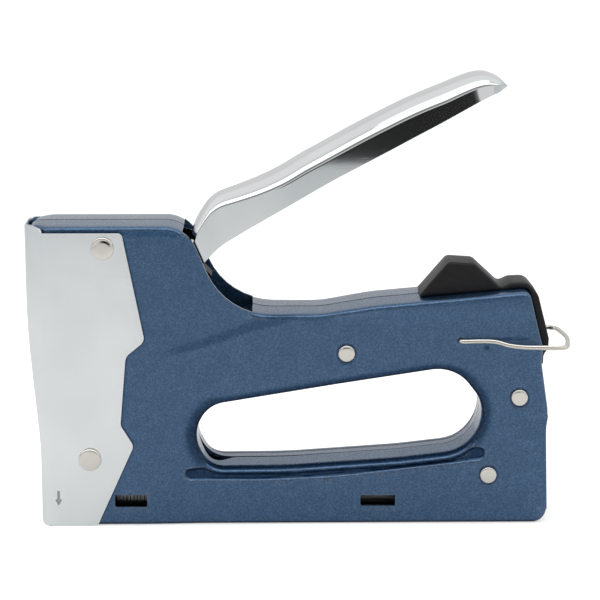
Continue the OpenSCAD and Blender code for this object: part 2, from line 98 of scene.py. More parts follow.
def fall(t: np.ndarray) -> np.ndarray:
    """Eased ramp from 1 to 0."""
    return 1 - smooth_step(t)


def curve_through(points: Path2, step: float) -> np.ndarray:
    """Smooth curve through points.

    Args:
        points: points in the plane, in order.
        step: distance between the points of the result.

    Returns:
        Points along a centripetal Catmull-Rom curve, evenly spaced.
    """
    p = np.array(points, float)
    p = np.vstack([2 * p[0] - p[1], p, 2 * p[-1] - p[-2]])
    dense = []
    for a, b, c, d in zip(p[:-3], p[1:-2], p[2:-1], p[3:]):
        t0 = 0.0
        t1 = t0 + np.linalg.norm(b - a) ** 0.5
        t2 = t1 + np.linalg.norm(c - b) ** 0.5
        t3 = t2 + np.linalg.norm(d - c) ** 0.5
        t = np.linspace(t1, t2, 24, endpoint=False)[:, None]
        ab = (t1 - t) / (t1 - t0) * a + (t - t0) / (t1 - t0) * b
        bc = (t2 - t) / (t2 - t1) * b + (t - t1) / (t2 - t1) * c
        cd = (t3 - t) / (t3 - t2) * c + (t - t2) / (t3 - t2) * d
        abc = (t2 - t) / (t2 - t0) * ab + (t - t0) / (t2 - t0) * bc
        bcd = (t3 - t) / (t3 - t1) * bc + (t - t1) / (t3 - t1) * cd
        dense.append((t2 - t) / (t2 - t1) * abc + (t - t1) / (t2 - t1) * bcd)
    line = np.vstack(dense + [p[-2][None]])
    return resampled(line, step)


def resampled_edges(line: np.ndarray, step: float) -> np.ndarray:
    """The closed line's corners with points between them, without the repeated last point.

    Args:
        line: corners of a closed line, with the first repeated at the end.
        step: distance between the points, about.

    Returns:
        The points, without the repeated one.
    """
    out = []
    for a, b in zip(line[:-1], line[1:]):
        parts = max(1, int(round(float(np.linalg.norm(b - a)) / step)))
        out += [a + (b - a) * t for t in np.arange(parts) / parts]
    return np.array(out)


def resampled(line: np.ndarray, step: float) -> np.ndarray:
    """Spaces a line's points evenly.

    Args:
        line: the points in order.
        step: distance between the points, about.

    Returns:
        The new points, with the same ends.
    """
    s = np.concatenate([[0.0], np.cumsum(np.linalg.norm(np.diff(line, axis=0), axis=1))])
    count = max(2, int(round(s[-1] / step)) + 1)
    at = np.linspace(0.0, s[-1], count)
    return np.stack([np.interp(at, s, line[:, k]) for k in range(line.shape[1])], axis=1)


@dataclass(frozen=True)
class CornerArc:
    """Round corner of an outline.

    Attributes:
        start: where the arc leaves the first edge.
        end: where it meets the second edge.
        points: the arc's points.
        out: their outward unit normals.
    """

    start: np.ndarray
    end: np.ndarray
    points: np.ndarray
    out: np.ndarray

    @staticmethod
    def round(before: np.ndarray, at: np.ndarray, after: np.ndarray, r: float, steps: int) -> "CornerArc":
        """Rounds one corner.

        Args:
            before: a point on the edge that leads to the corner.
            at: the sharp corner.
            after: a point on the edge that leaves it.
            r: the radius.
            steps: straight steps in the arc.

        Returns:
            The arc.
        """
        u, v = unit_rows(before - at), unit_rows(after - at)
        half = math.acos(float(np.clip(u @ v, -1, 1))) / 2
        reach = r / math.tan(half)
        mid = at + unit_rows(u + v) * r / math.sin(half)
        start, end = at + u * reach, at + v * reach
        a0, a1 = (math.atan2(*(p - mid)[::-1]) for p in (start, end))
        a = a0 + ((a1 - a0 + math.pi) % (2 * math.pi) - math.pi) * np.linspace(0, 1, steps + 1)
        ray = np.stack([np.cos(a), np.sin(a)], axis=1)
        return CornerArc(start, end, mid + r * ray, math.copysign(1.0, u[1] * v[0] - u[0] * v[1]) * ray)


@dataclass(frozen=True)
class Outline:
    """Closed outline of straight edges and round corners, given anticlockwise as (x, z, radius).

    Attributes:
        corners: the corners before rounding.
        step: longest distance between points on the straight edges.
        arc_steps: straight steps in each rounded corner.
    """

    corners: Sequence[Corner]
    step: float = 1.2
    arc_steps: int = 10

    def points(self) -> tuple[np.ndarray, np.ndarray]:
        """Rounds the corners and fills in the straight edges.

        Returns:
            The points and their outward unit normals.
        """
        c = np.array(self.corners, float)
        arcs = [CornerArc.round(before, at, after, r, self.arc_steps) for before, at, after, r
                in zip(np.roll(c, 1, axis=0)[:, :2], c[:, :2], np.roll(c, -1, axis=0)[:, :2], c[:, 2])]
        at, out = [], []
        for i, arc in enumerate(arcs):
            at.append(arc.points)
            out.append(arc.out)
            gap = arcs[(i + 1) % len(arcs)].start - arc.end
            count = max(1, int(math.ceil(np.linalg.norm(gap) / self.step)))
            if count > 1:
                at.append(arc.end + gap * np.arange(1, count)[:, None] / count)
                out.append(np.repeat(unit_rows(np.array([[gap[1], -gap[0]]])), count - 1, axis=0))
        return np.vstack(at), np.vstack(out)


def inside(points: np.ndarray, ring: np.ndarray) -> np.ndarray:
    """Which of the points lie inside a closed ring.

    Args:
        points: rows of x, z.
        ring: the ring, in rows of x, z.

    Returns:
        True for each point inside it.
    """
    x, z = points[:, 0][:, None], points[:, 1][:, None]
    x0, z0 = ring[:, 0], ring[:, 1]
    x1, z1 = np.roll(x0, -1), np.roll(z0, -1)
    cross = (z0 > z) != (z1 > z)
    with np.errstate(divide="ignore", invalid="ignore"):
        at = (x1 - x0) * (z - z0) / (z1 - z0) + x0
    return (np.sum(cross & (x < at), axis=1) % 2).astype(bool)


def distance_to(points: np.ndarray, line: np.ndarray, closed: bool = False) -> np.ndarray:
    """Distance from each point to a line of straight pieces.

    Args:
        points: rows of x, z.
        line: the line, in rows of x, z.
        closed: whether it returns to its first point.

    Returns:
        One distance for each point.
    """
    a = line
    b = np.roll(line, -1, axis=0)
    if not closed:
        a, b = a[:-1], b[:-1]
    best = np.full(len(points), 1e9)
    for p, q in zip(a, b):
        d = q - p
        t = np.clip(((points - p) @ d) / max(d @ d, 1e-12), 0, 1)
        best = np.minimum(best, np.linalg.norm(points - p - t[:, None] * d, axis=1))
    return best


def filled(rings: Sequence[np.ndarray], spacing: Callable[[np.ndarray], np.ndarray],
           fine: float, coarse: float, lines: Sequence[np.ndarray] = ()) -> tuple[np.ndarray, np.ndarray]:
    """Triangulates the region inside the first ring and outside the others.

    Args:
        rings: the outer ring and then the holes.
        spacing: says for each point whether the fine grid is wanted there.
        fine: spacing of the fine grid.
        coarse: spacing of the coarse grid.
        lines: open lines that the triangles' edges must follow.

    Returns:
        The points and the triangles.
    """
    low, high = rings[0].min(0), rings[0].max(0)
    edged = [(ring, True) for ring in rings] + [(line, False) for line in lines]
    lattice = []
    for pitch, wanted in ((fine, True), (coarse, False)):
        xs = np.arange(low[0], high[0], pitch)
        zs = np.arange(low[1], high[1], pitch * 0.866)
        gx, gz = np.meshgrid(xs, zs)
        gx = gx + (np.arange(len(zs)) % 2)[:, None] * pitch / 2
        p = np.stack([gx.ravel(), gz.ravel()], axis=1)
        p = p[spacing(p) == wanted]
        p = p[inside(p, rings[0])]
        for ring in rings[1:]:
            p = p[~inside(p, ring)]
        for line, closed in edged:
            p = p[distance_to(p, line, closed) > pitch * 0.45]
        lattice.append(p)
    verts = np.vstack([line for line, closed in edged] + lattice)
    edges, base = [], 0
    for line, closed in edged:
        n = len(line)
        edges += [(base + i, base + (i + 1) % n) for i in range(n if closed else n - 1)]
        base += n
    out = delaunay_2d_cdt([Vector(v) for v in verts], edges, [], 1, 1e-5)
    pts = np.array([tuple(v) for v in out[0]])
    tris = np.array([f for f in out[2] if len(f) == 3], int)
    a, b, c = (pts[tris[:, k]] for k in range(3))
    turned = (b - a)[:, 0] * (c - a)[:, 1] - (b - a)[:, 1] * (c - a)[:, 0] < 0
    tris[turned] = tris[turned][:, ::-1]
    mids = pts[tris].mean(axis=1)
    for ring in rings[1:]:
        keep = ~inside(mids, ring)
        tris, mids = tris[keep], mids[keep]
    return pts, tris


def rounded_box(x0: float, x1: float, z0: float, z1: float, r: float, step: float = 1.5) -> np.ndarray:
    """Outline points of a rounded rectangle."""
    return Outline([(x0, z0, r), (x1, z0, r), (x1, z1, r), (x0, z1, r)], step, 5).points()[0]


def circle(x: float, z: float, r: float, count: int = 32) -> np.ndarray:
    """Points of a circle, anticlockwise."""
    a = 2 * math.pi * np.arange(count) / count
    return np.stack([x + r * np.cos(a), z + r * np.sin(a)], axis=1)


def offset_ring(ring: np.ndarray, away: float) -> np.ndarray:
    """Moves a closed anticlockwise ring outwards."""
    along = np.roll(ring, -1, axis=0) - np.roll(ring, 1, axis=0)
    return ring + away * unit_rows(np.stack([along[:, 1], -along[:, 0]], axis=1))


def line_height(points: np.ndarray, line: np.ndarray) -> np.ndarray:
    """Height of a line, given by points in order of x, at each point's x."""
    return np.interp(points[:, 0], line[:, 0], line[:, 1])


def in_box(points: np.ndarray, x0: float, x1: float, z0: float = -math.inf,
           z1: float = math.inf) -> np.ndarray:
    """Says for each point whether it is between x0 and x1 and between z0 and z1."""
    x, z = points.T
    return (x > x0) & (x < x1) & (z > z0) & (z < z1)


def nowhere(points: np.ndarray) -> np.ndarray:
    """Says for each point that the fine grid isn't wanted there."""
    return np.zeros(len(points), bool)


def on_side(points: np.ndarray, depth: np.ndarray | float, side: Side) -> np.ndarray:
    """Turns (x, z) points and their distances from the seam into rows of x, y, z."""
    return np.stack([points[:, 0], np.broadcast_to(side.value * depth, len(points)), points[:, 1]], axis=1)


# ---------------------------------------------------------------- meshes
@dataclass
class MeshDraft:
    """Collects points and faces in millimetres, then makes one Blender mesh of them."""

    points: list[np.ndarray] = field(default_factory=list)
    faces: list[tuple[int, ...]] = field(default_factory=list)
    count: int = 0

    def add(self, points: np.ndarray, faces: Sequence[Sequence[int]]) -> None:
        """Adds points and the faces that use them.

        Args:
            points: rows of x, y, z.
            faces: indices into points.
        """
        self.points.append(np.asarray(points, float))
        self.faces += [tuple(int(i) + self.count for i in f) for f in faces]
        self.count += len(points)

    def face_side(self, points: np.ndarray, depth: np.ndarray | float, side: Side, tris: np.ndarray) -> None:
        """Adds a sheet that faces away from the seam.

        Args:
            points: rows of x, z.
            depth: distance of the points from the seam.
            side: side of the seam.
            tris: the sheet's triangles, anticlockwise in x, z.
        """
        self.add(on_side(points, depth, side), tris if side is Side.LEFT else tris[:, ::-1])

    def cap(self, start: int, sides: int, flip: bool) -> None:
        """Adds one face over a ring of points.

        Args:
            start: index of the ring's first point.
            sides: number of its points.
            flip: whether the face looks the other way.
        """
        face = tuple(range(start, start + sides))
        self.faces.append(face[::-1] if flip else face)

    def grid(self, rows: Sequence[np.ndarray], around: bool = False, flip: bool = False) -> None:
        """Adds a sheet of quads between rows of equal length.

        Args:
            rows: rows of points, each an array of x, y, z.
            around: whether each row closes on itself.
            flip: whether the faces look the other way.
        """
        m, n = len(rows), len(rows[0])
        faces = []
        for i in range(m - 1):
            for j in range(n if around else n - 1):
                k = (j + 1) % n
                quad = (i * n + j, i * n + k, (i + 1) * n + k, (i + 1) * n + j)
                faces.append(quad[::-1] if flip else quad)
        self.add(np.vstack(rows), faces)

    def tube(self, path: np.ndarray, radius: float, sides: int) -> None:
        """Adds a round wire along a path, closed at both ends.

        Args:
            path: rows of x, y, z.
            radius: the wire's radius.
            sides: points round the wire.
        """
        t = unit_rows(np.gradient(path, axis=0))
        up = np.array([0.0, 0.0, 1.0]) if abs(t[0, 2]) < 0.9 else np.array([0.0, 1.0, 0.0])
        u = unit_rows(np.cross(t[0], up))
        rows = []
        for i, p in enumerate(path):
            u = unit_rows(u - t[i] * (u @ t[i]))
            v = np.cross(t[i], u)
            a = 2 * math.pi * np.arange(sides) / sides
            rows.append(p + radius * (np.cos(a)[:, None] * u + np.sin(a)[:, None] * v))
        self.grid(rows, around=True)
        self.cap(self.count - len(path) * sides, sides, True)
        self.cap(self.count - sides, sides, False)

    def lathe(self, centre: Sequence[float], profile: Path2, side: Side, sides: int) -> None:
        """Adds a turned shape about an axis across the body.

        Args:
            centre: x and z of the axis.
            profile: radius and distance from the seam, from the outside to the axis.
            side: side of the seam that it points to.
            sides: points round the axis.
        """
        right = side is Side.RIGHT
        rows = [on_side(circle(*centre, r, sides), y, side) for r, y in profile]
        self.grid(rows, around=True, flip=right)
        self.cap(self.count - sides, sides, right)
        self.cap(self.count - sides * len(rows), sides, not right)

    def join(self, other: "MeshDraft") -> None:
        """Adds everything in another draft.

        Args:
            other: the draft, which stays as it is.
        """
        self.points += other.points
        self.faces += [tuple(i + self.count for i in f) for f in other.faces]
        self.count += other.count

    def mirrored(self) -> "MeshDraft":
        """Returns a copy on the other side of the seam, with its faces turned to suit."""
        flip = np.array([1.0, -1.0, 1.0])
        return MeshDraft([p * flip for p in self.points], [f[::-1] for f in self.faces], self.count)

    def build(self, name: str, crease_deg: float, merge: float = 0.02) -> bpy.types.Object:
        """Makes the Blender object.

        Args:
            name: name of the object.
            crease_deg: edges sharper than this stay sharp.
            merge: points nearer than this are joined.

        Returns:
            The object, linked to the scene.
        """
        pts = np.vstack(self.points)
        pts = (pts - np.array([MID_X, 0.0, 0.0])) * MM
        mesh = bpy.data.meshes.new(name)
        mesh.from_pydata(pts.tolist(), [], self.faces)
        obj = bpy.data.objects.new(name, mesh)
        bpy.context.collection.objects.link(obj)
        weld(obj, merge * MM)
        obj.data.shade_smooth()
        obj.data.set_sharp_from_angle(angle=math.radians(crease_deg))
        return obj


def weld(obj: bpy.types.Object, distance: float) -> None:
    """Joins points that lie together and drops faces with no area.

    Args:
        obj: a mesh object.
        distance: points nearer than this are joined, in metres.
    """
    bm = bmesh.new()
    bm.from_mesh(obj.data)
    bmesh.ops.remove_doubles(bm, verts=bm.verts, dist=distance)
    bmesh.ops.dissolve_degenerate(bm, dist=distance * 0.2, edges=bm.edges)
    loose = [v for v in bm.verts if not v.link_faces]
    bmesh.ops.delete(bm, geom=loose, context="VERTS")
    bm.to_mesh(obj.data)
    bm.free()


def thickened(obj: bpy.types.Object, thickness: float, edge: float, inner_slot: int = 0) -> None:
    """Gives a surface the thickness of its sheet, inwards, and breaks its edges.

    Args:
        obj: a mesh object that is an open surface.
        thickness: sheet thickness in millimetres.
        edge: width of the small bevel on the cut edges, in millimetres.
        inner_slot: material slot of the inner face.
    """
    solid = obj.modifiers.new("sheet", "SOLIDIFY")
    solid.thickness = thickness * MM
    solid.offset = -1.0
    solid.material_offset = inner_slot
    solid.material_offset_rim = 0
    bevel = obj.modifiers.new("edge", "BEVEL")
    bevel.width = edge * MM
    bevel.segments = 2
    bevel.limit_method = "ANGLE"
    bevel.angle_limit = math.radians(50)
    bevel.use_clamp_overlap = True
    bevel.harden_normals = True
    graph = bpy.context.evaluated_depsgraph_get()
    mesh = bpy.data.meshes.new_from_object(obj.evaluated_get(graph))
    obj.modifiers.clear()
    obj.data = mesh


def store(obj: bpy.types.Object, name: str, values: np.ndarray) -> None:
    """Stores a value between 0 and 1 on each point of a mesh."""
    attr = obj.data.attributes.new(name, "FLOAT", "POINT")
    attr.data.foreach_set("value", np.clip(values, 0, 1).astype(np.float32))


def places(obj: bpy.types.Object) -> np.ndarray:
    """Reads where a mesh's points are.

    Args:
        obj: a mesh object.

    Returns:
        Rows of x, y, z in millimetres from the nose foot.
    """
    co = np.zeros(len(obj.data.vertices) * 3)
    obj.data.vertices.foreach_get("co", co)
    return co.reshape(-1, 3) / MM + np.array([MID_X, 0.0, 0.0])


def mark_edges(obj: bpy.types.Object, least_deg: float = 11.0, reach_deg: float = 25.0) -> None:
    """Stores on each point how much the surface turns outwards there, for wear on edges.

    Args:
        obj: a mesh object.
        least_deg: the turn where wear begins.
        reach_deg: the further turn that counts as a full edge.
    """
    bm = bmesh.new()
    bm.from_mesh(obj.data)
    turn = np.zeros(len(bm.verts))
    for e in bm.edges:
        if len(e.link_faces) == 2:
            a = e.calc_face_angle_signed(0.0)
            for v in e.verts:
                turn[v.index] = max(turn[v.index], a)
    bm.free()
    store(obj, "edge_turn", (turn - math.radians(least_deg)) / math.radians(reach_deg))
# ---------------------------------------------------------------- shader wiring
FLOAT, COLOUR, VECTOR = "NodeSocketFloat", "NodeSocketColor", "NodeSocketVector"


class Wiring:
    """Adds and joins nodes in one node tree."""

    def __init__(self, tree: bpy.types.NodeTree) -> None:
        """Starts wiring a tree."""
        self.tree = tree

    def feed(self, socket: bpy.types.NodeSocket, value: object) -> None:
        """Feeds an input with another node's output, a number or a colour.

        Args:
            socket: the input.
            value: an output socket, a number, a vector or a colour without alpha.
        """
        if isinstance(value, bpy.types.NodeSocket):
            self.tree.links.new(value, socket)
        else:
            socket.default_value = (*value, 1.0) if socket.type == "RGBA" else value

    def fill(self, node: bpy.types.Node, **values: object) -> None:
        """Sets properties of a node and feeds its inputs.

        Args:
            node: the node.
            **values: its properties, and its inputs by name with _ for each space.
        """
        for key, value in values.items():
            if hasattr(node, key):
                setattr(node, key, value)
            else:
                self.feed(node.inputs[key.replace("_", " ")], value)

    def node(self, kind: str, **values: object) -> bpy.types.Node:
        """Adds a node.

        Args:
            kind: the node's type.
            **values: properties of the node, or what feeds its inputs.

        Returns:
            The node.
        """
        n = self.tree.nodes.new(kind)
        self.fill(n, **values)
        return n

    def effect(self, tree: bpy.types.NodeTree, **values: object) -> bpy.types.Node:
        """Adds a shared effect with its own values."""
        return self.node("ShaderNodeGroup", node_tree=tree, **values)

    def at(self) -> bpy.types.NodeSocket:
        """Returns the object's own coordinates."""
        return self.node("ShaderNodeTexCoord").outputs["Object"]

    def math(self, operation: str, a: object, b: object = 0.0, clamp: bool = False) -> bpy.types.NodeSocket:
        """Adds a math node.

        Args:
            operation: its operation.
            a: a socket or a number.
            b: a socket or a number.
            clamp: whether the result stays between 0 and 1.

        Returns:
            The result's socket.
        """
        n = self.node("ShaderNodeMath", operation=operation, use_clamp=clamp)
        self.feed(n.inputs[0], a)
        self.feed(n.inputs[1], b)
        return n.outputs[0]

    def vector(self, operation: str, a: object, b: object = (0.0, 0.0, 0.0)) -> bpy.types.Node:
        """Adds a vector math node.

        Args:
            operation: its operation.
            a: a socket.
            b: a socket or a vector, or the factor of a scaling.

        Returns:
            The node.
        """
        n = self.node("ShaderNodeVectorMath", operation=operation)
        self.feed(n.inputs[0], a)
        self.feed(n.inputs["Scale" if operation == "SCALE" else 1], b)
        return n

    def ramp(self, value: bpy.types.NodeSocket, low: float, high: float, to_low: float = 0.0,
             to_high: float = 1.0) -> bpy.types.NodeSocket:
        """Maps a value smoothly from one range to another.

        Args:
            value: the input.
            low: input that gives to_low.
            high: input that gives to_high.
            to_low: lowest result.
            to_high: highest result.

        Returns:
            The result's socket.
        """
        return self.node("ShaderNodeMapRange", interpolation_type="SMOOTHSTEP", Value=value, From_Min=low,
                         From_Max=high, To_Min=to_low, To_Max=to_high).outputs["Result"]

    def blend(self, share: object, a: object, b: object, mode: str = "MIX") -> bpy.types.NodeSocket:
        """Mixes two colours.

        Args:
            share: socket or number, 0 for a and 1 for b.
            a: socket or colour.
            b: socket or colour.
            mode: how they mix.

        Returns:
            The colour's socket.
        """
        n = self.node("ShaderNodeMix", data_type="RGBA", blend_type=mode)
        for slot, value in ((0, share), (6, a), (7, b)):
            self.feed(n.inputs[slot], value)
        return n.outputs[2]

    def noise(self, scale: object, detail: float = 2.0, stretch: Sequence[float] = (1, 1, 1),
              roughness: float = 0.5) -> bpy.types.NodeSocket:
        """Adds noise over the object's own coordinates.

        Args:
            scale: cells in each metre, a socket or a number.
            detail: octaves.
            stretch: scale along each axis.
            roughness: weight of the finer octaves.

        Returns:
            The noise value's socket.
        """
        at = self.node("ShaderNodeMapping", Vector=self.at(), Scale=stretch).outputs[0]
        return self.node("ShaderNodeTexNoise", Vector=at, Scale=scale, Detail=detail,
                         Roughness=roughness).outputs["Fac"]

    def bump(self, height: bpy.types.NodeSocket, depth: float, **normal: object) -> bpy.types.NodeSocket:
        """Turns a height into a normal.

        Args:
            height: the height's socket.
            depth: height of the relief in metres.
            **normal: the Normal to start from, if it isn't the surface's own.

        Returns:
            The normal's socket.
        """
        return self.node("ShaderNodeBump", Strength=1.0, Distance=depth, Height=height, **normal).outputs[0]


# ---------------------------------------------------------------- shared effects
def new_group(name: str, inputs: dict[str, float | tuple], outputs: dict[str, str]) -> tuple[
        bpy.types.NodeTree, Wiring, bpy.types.Node, bpy.types.Node]:
    """Starts a shader node group with named sockets.

    Args:
        name: name of the group.
        inputs: each input's name and default, a number or a colour.
        outputs: each output's name and socket type.

    Returns:
        The tree, its wiring, its input node and its output node.
    """
    tree = bpy.data.node_groups.new(name, "ShaderNodeTree")
    wires = Wiring(tree)
    for key, value in inputs.items():
        kind = COLOUR if isinstance(value, tuple) else FLOAT
        tree.interface.new_socket(key, in_out="INPUT", socket_type=kind).default_value = (
            (*value, 1.0) if isinstance(value, tuple) else value)
    for key, kind in outputs.items():
        tree.interface.new_socket(key, in_out="OUTPUT", socket_type=kind)
    return tree, wires, wires.node("NodeGroupInput"), wires.node("NodeGroupOutput")


def make_flake_group() -> bpy.types.NodeTree:
    """Metal flakes in paint, which sparkle from cell to cell.

    Returns:
        The group, which gives a colour and the flakes' tilted normal.
    """
    tree, w, gin, gout = new_group(
        "metal_flakes", {"Paint": (0.05, 0.1, 0.16), "Flake": (0.2, 0.3, 0.4), "Share": 0.4, "Tilt": 0.15},
        {"Color": COLOUR, "Normal": VECTOR})
    small, large = (w.node("ShaderNodeTexVoronoi", Vector=w.at(), Scale=cells).outputs["Color"]
                    for cells in (4200.0, 1900.0))
    red = w.node("ShaderNodeSeparateColor", Color=small).outputs[0]
    green = w.node("ShaderNodeSeparateColor", Color=large).outputs[1]
    sparkle = w.math("ADD", w.math("MULTIPLY", w.ramp(red, 0.35, 1.0), 0.6),
                     w.math("MULTIPLY", w.ramp(green, 0.3, 1.0), 0.5))
    cloud = w.ramp(w.noise(160.0, 3.0), 0.35, 0.7, 0.82, 1.12)
    share = w.math("MULTIPLY", w.math("MULTIPLY", sparkle, cloud), gin.outputs["Share"], clamp=True)
    lean = w.vector("SCALE", w.vector("SUBTRACT", large, (0.5, 0.5, 0.5)).outputs[0], gin.outputs["Tilt"])
    total = w.vector("ADD", w.node("ShaderNodeNewGeometry").outputs["Normal"], lean.outputs[0])
    w.fill(gout, Color=w.blend(share, gin.outputs["Paint"], gin.outputs["Flake"]),
           Normal=w.vector("NORMALIZE", total.outputs[0]).outputs[0])
    return tree


def make_mask_group(name: str, stored: str, patches: tuple[float, float, float, float]) -> bpy.types.NodeTree:
    """Mask from a value stored on the points, broken up by noise.

    Args:
        name: name of the group.
        stored: name of the stored value.
        patches: the range of the noise and the range that it gives.

    Returns:
        The group.
    """
    tree, w, gin, gout = new_group(name, {"Amount": 0.5, "Patch": 900.0}, {"Mask": FLOAT})
    value = w.node("ShaderNodeAttribute", attribute_name=stored).outputs["Fac"]
    broken = w.math("MULTIPLY", value, w.ramp(w.noise(gin.outputs["Patch"], 3.0), *patches))
    w.fill(gout, Mask=w.math("MULTIPLY", broken, gin.outputs["Amount"], clamp=True))
    return tree


def make_haze_group() -> bpy.types.NodeTree:
    """Handling marks on metal: faint smears and fine scratches.

    Returns:
        The group, which gives a roughness and a height.
    """
    tree, w, gin, gout = new_group(
        "handling_marks", {"Base": 0.08, "Smear": 0.06, "Scratch": 0.05},
        {"Roughness": FLOAT, "Height": FLOAT})
    smear = w.ramp(w.noise(55.0, 4.0), 0.4, 0.75)
    lines = w.ramp(w.noise(420.0, 3.0, (0.12, 1.0, 2.6), 0.6), 0.55, 0.75)
    rough = w.math("ADD", gin.outputs["Base"], w.math("MULTIPLY", smear, gin.outputs["Smear"]))
    rough = w.math("ADD", rough, w.math("MULTIPLY", lines, gin.outputs["Scratch"]), clamp=True)
    w.fill(gout, Roughness=rough,
           Height=w.math("ADD", w.math("MULTIPLY", smear, 0.3), w.math("MULTIPLY", lines, -0.2)))
    return tree


def make_grain_group() -> bpy.types.NodeTree:
    """Grain of a moulding or of sheet metal.

    Returns:
        The group, which gives a fine height and a slow shade.
    """
    tree, w, gin, gout = new_group("fine_grain", {"Scale": 2600.0, "Depth": 1.0},
                                   {"Height": FLOAT, "Shade": FLOAT})
    w.fill(gout, Height=w.math("MULTIPLY", w.noise(gin.outputs["Scale"]), gin.outputs["Depth"]),
           Shade=w.ramp(w.noise(90.0, 3.0), 0.3, 0.7))
    return tree


@dataclass
class EffectGroups:
    """The shader groups that the finishes share, each built once."""

    flakes: bpy.types.NodeTree = field(default_factory=make_flake_group)
    wear: bpy.types.NodeTree = field(
        default_factory=lambda: make_mask_group("edge_wear", "edge_turn", (0.42, 0.62, 0.0, 1.0)))
    # Painted shade: the stored recess shade, broken up a little by noise, darkens grooves, seams and edges
    # where shadow falls.
    recess_shade: bpy.types.NodeTree = field(
        default_factory=lambda: make_mask_group("painted_recess_shade", "recess_shade", (0.3, 0.7, 0.88, 1.0)))
    haze: bpy.types.NodeTree = field(default_factory=make_haze_group)
    grain: bpy.types.NodeTree = field(default_factory=make_grain_group)


# ---------------------------------------------------------------- finishes
def shaded(colour: Sequence[float], factor: float, lift: float = 0.0) -> tuple[float, ...]:
    """Returns a colour times a factor, no brighter than white."""
    return tuple(min(1.0, factor * c + lift) for c in colour)


@dataclass(frozen=True)
class Finish:
    """A surface finish. Colours are linear."""

    name: str
    colour: tuple[float, float, float]

    def started(self) -> tuple[bpy.types.Material, Wiring, bpy.types.Node]:
        """Starts a material.

        Returns:
            The material, its wiring and its Principled BSDF.
        """
        material = bpy.data.materials.new(self.name)
        material.use_nodes = True
        material.diffuse_color = (*self.colour, 1.0)
        return material, Wiring(material.node_tree), material.node_tree.nodes["Principled BSDF"]

    def material(self, groups: EffectGroups) -> bpy.types.Material:
        """Builds the material."""
        raise NotImplementedError


@dataclass(frozen=True)
class FlakePaint(Finish):
    """Metallic paint under clear lacquer, with painted shade that darkens it and dulls the lacquer where
    shadow falls.
    """

    flake: tuple[float, float, float] = (0.2, 0.3, 0.4)
    share: float = 0.35
    tilt: float = 0.16
    metallic: float = 0.85
    roughness: float = 0.38
    bare: tuple[float, float, float] = (0.35, 0.36, 0.38)
    # Colour and lacquer loss of the painted shade.
    shade_colour: tuple[float, float, float] = (0.20, 0.29, 0.37)
    coat_lost_in_shade: float = 0.9
    tint: tuple[float, float, float] = (0.49, 0.55, 0.6)
    relief: float = 0.000012

    def material(self, groups: EffectGroups) -> bpy.types.Material:
        """Builds flakes in the paint, lacquer over it, a little wear on the edges and the painted shade.

        Args:
            groups: the shared effects.

        Returns:
            The material.
        """
        material, w, shader = self.started()
        flakes = w.effect(groups.flakes, Paint=self.colour, Flake=self.flake, Share=self.share,
                          Tilt=self.tilt)
        wear = w.effect(groups.wear, Amount=0.35, Patch=1300.0).outputs["Mask"]
        # Painted shade from the stored recess shade: darker paint and thinner lacquer where shadow falls.
        painted_shade = w.effect(groups.recess_shade, Amount=1.0, Patch=500.0).outputs["Mask"]
        grain = w.effect(groups.grain, Scale=900.0, Depth=1.0).outputs
        paint = w.blend(painted_shade, flakes.outputs["Color"], self.shade_colour, "MULTIPLY")
        w.fill(shader, Base_Color=w.blend(wear, paint, self.bare), Metallic=self.metallic,
               Roughness=w.ramp(grain["Shade"], 0.0, 1.0, self.roughness - 0.04, self.roughness + 0.05),
               Coat_Weight=w.math("SUBTRACT", 1.0, w.math("MULTIPLY", painted_shade, self.coat_lost_in_shade), clamp=True),
               Coat_IOR=1.4, Coat_Roughness=0.07, Specular_Tint=self.tint,
               Normal=w.bump(grain["Height"], self.relief, Normal=flakes.outputs["Normal"]))
        return material


@dataclass(frozen=True)
class Plating(Finish):
    """Bright plating on steel, with faint handling marks and painted shade where a recess shade is stored."""

    roughness: float = 0.08
    smear: float = 0.05
    scratch: float = 0.04
    ripple: float = 0.00001
    # Colour of the painted shade.
    shade_colour: tuple[float, float, float] = (0.12, 0.12, 0.12)

    def material(self, groups: EffectGroups) -> bpy.types.Material:
        """Builds a metal whose gloss varies with smears and fine scratches.

        Args:
            groups: the shared effects.

        Returns:
            The material.
        """
        material, w, shader = self.started()
        marks = w.effect(groups.haze, Base=self.roughness, Smear=self.smear, Scratch=self.scratch).outputs
        wear = w.effect(groups.wear, Amount=0.3, Patch=1500.0).outputs["Mask"]
        # Painted shade from the stored recess shade, which of the plated pieces only the nose plate's stamped
        # arrow carries.
        painted_shade = w.effect(groups.recess_shade, Amount=0.9, Patch=800.0).outputs["Mask"]
        clean = w.blend(w.ramp(w.noise(40.0), 0.3, 0.7), self.colour, shaded(self.colour, 0.94))
        w.fill(shader, Base_Color=w.blend(wear, w.blend(painted_shade, clean, self.shade_colour), shaded(self.colour, 0.7)),
               Roughness=marks["Roughness"], Metallic=1.0, Normal=w.bump(marks["Height"], self.ripple))
        return material


@dataclass(frozen=True)
class WorkedMetal(Finish):
    """Plain or zinc-plated steel, bronze or spring wire, with a drawn or rolled grain."""

    roughness: float = 0.35
    drawn: tuple[float, float, float] = (0.15, 1.0, 1.0)
    relief: float = 0.00002

    def material(self, groups: EffectGroups) -> bpy.types.Material:
        """Builds a satin metal with grain along its length and darker patches.

        Args:
            groups: the shared effects.

        Returns:
            The material.
        """
        material, w, shader = self.started()
        grain = w.effect(groups.grain, Scale=1700.0, Depth=1.0).outputs
        wear = w.effect(groups.wear, Amount=0.6, Patch=700.0).outputs["Mask"]
        lines = w.noise(1500.0, 3.0, self.drawn)
        shade = w.math("ADD", w.math("MULTIPLY", w.ramp(lines, 0.3, 0.75), 0.35),
                       w.math("MULTIPLY", grain["Shade"], 0.25))
        toned = w.blend(shade, self.colour, shaded(self.colour, 0.55))
        w.fill(shader, Base_Color=w.blend(wear, toned, shaded(self.colour, 1.5)), Metallic=1.0,
               Roughness=w.ramp(lines, 0.2, 0.8, self.roughness - 0.08, self.roughness + 0.12),
               Normal=w.bump(grain["Height"], self.relief))
        return material


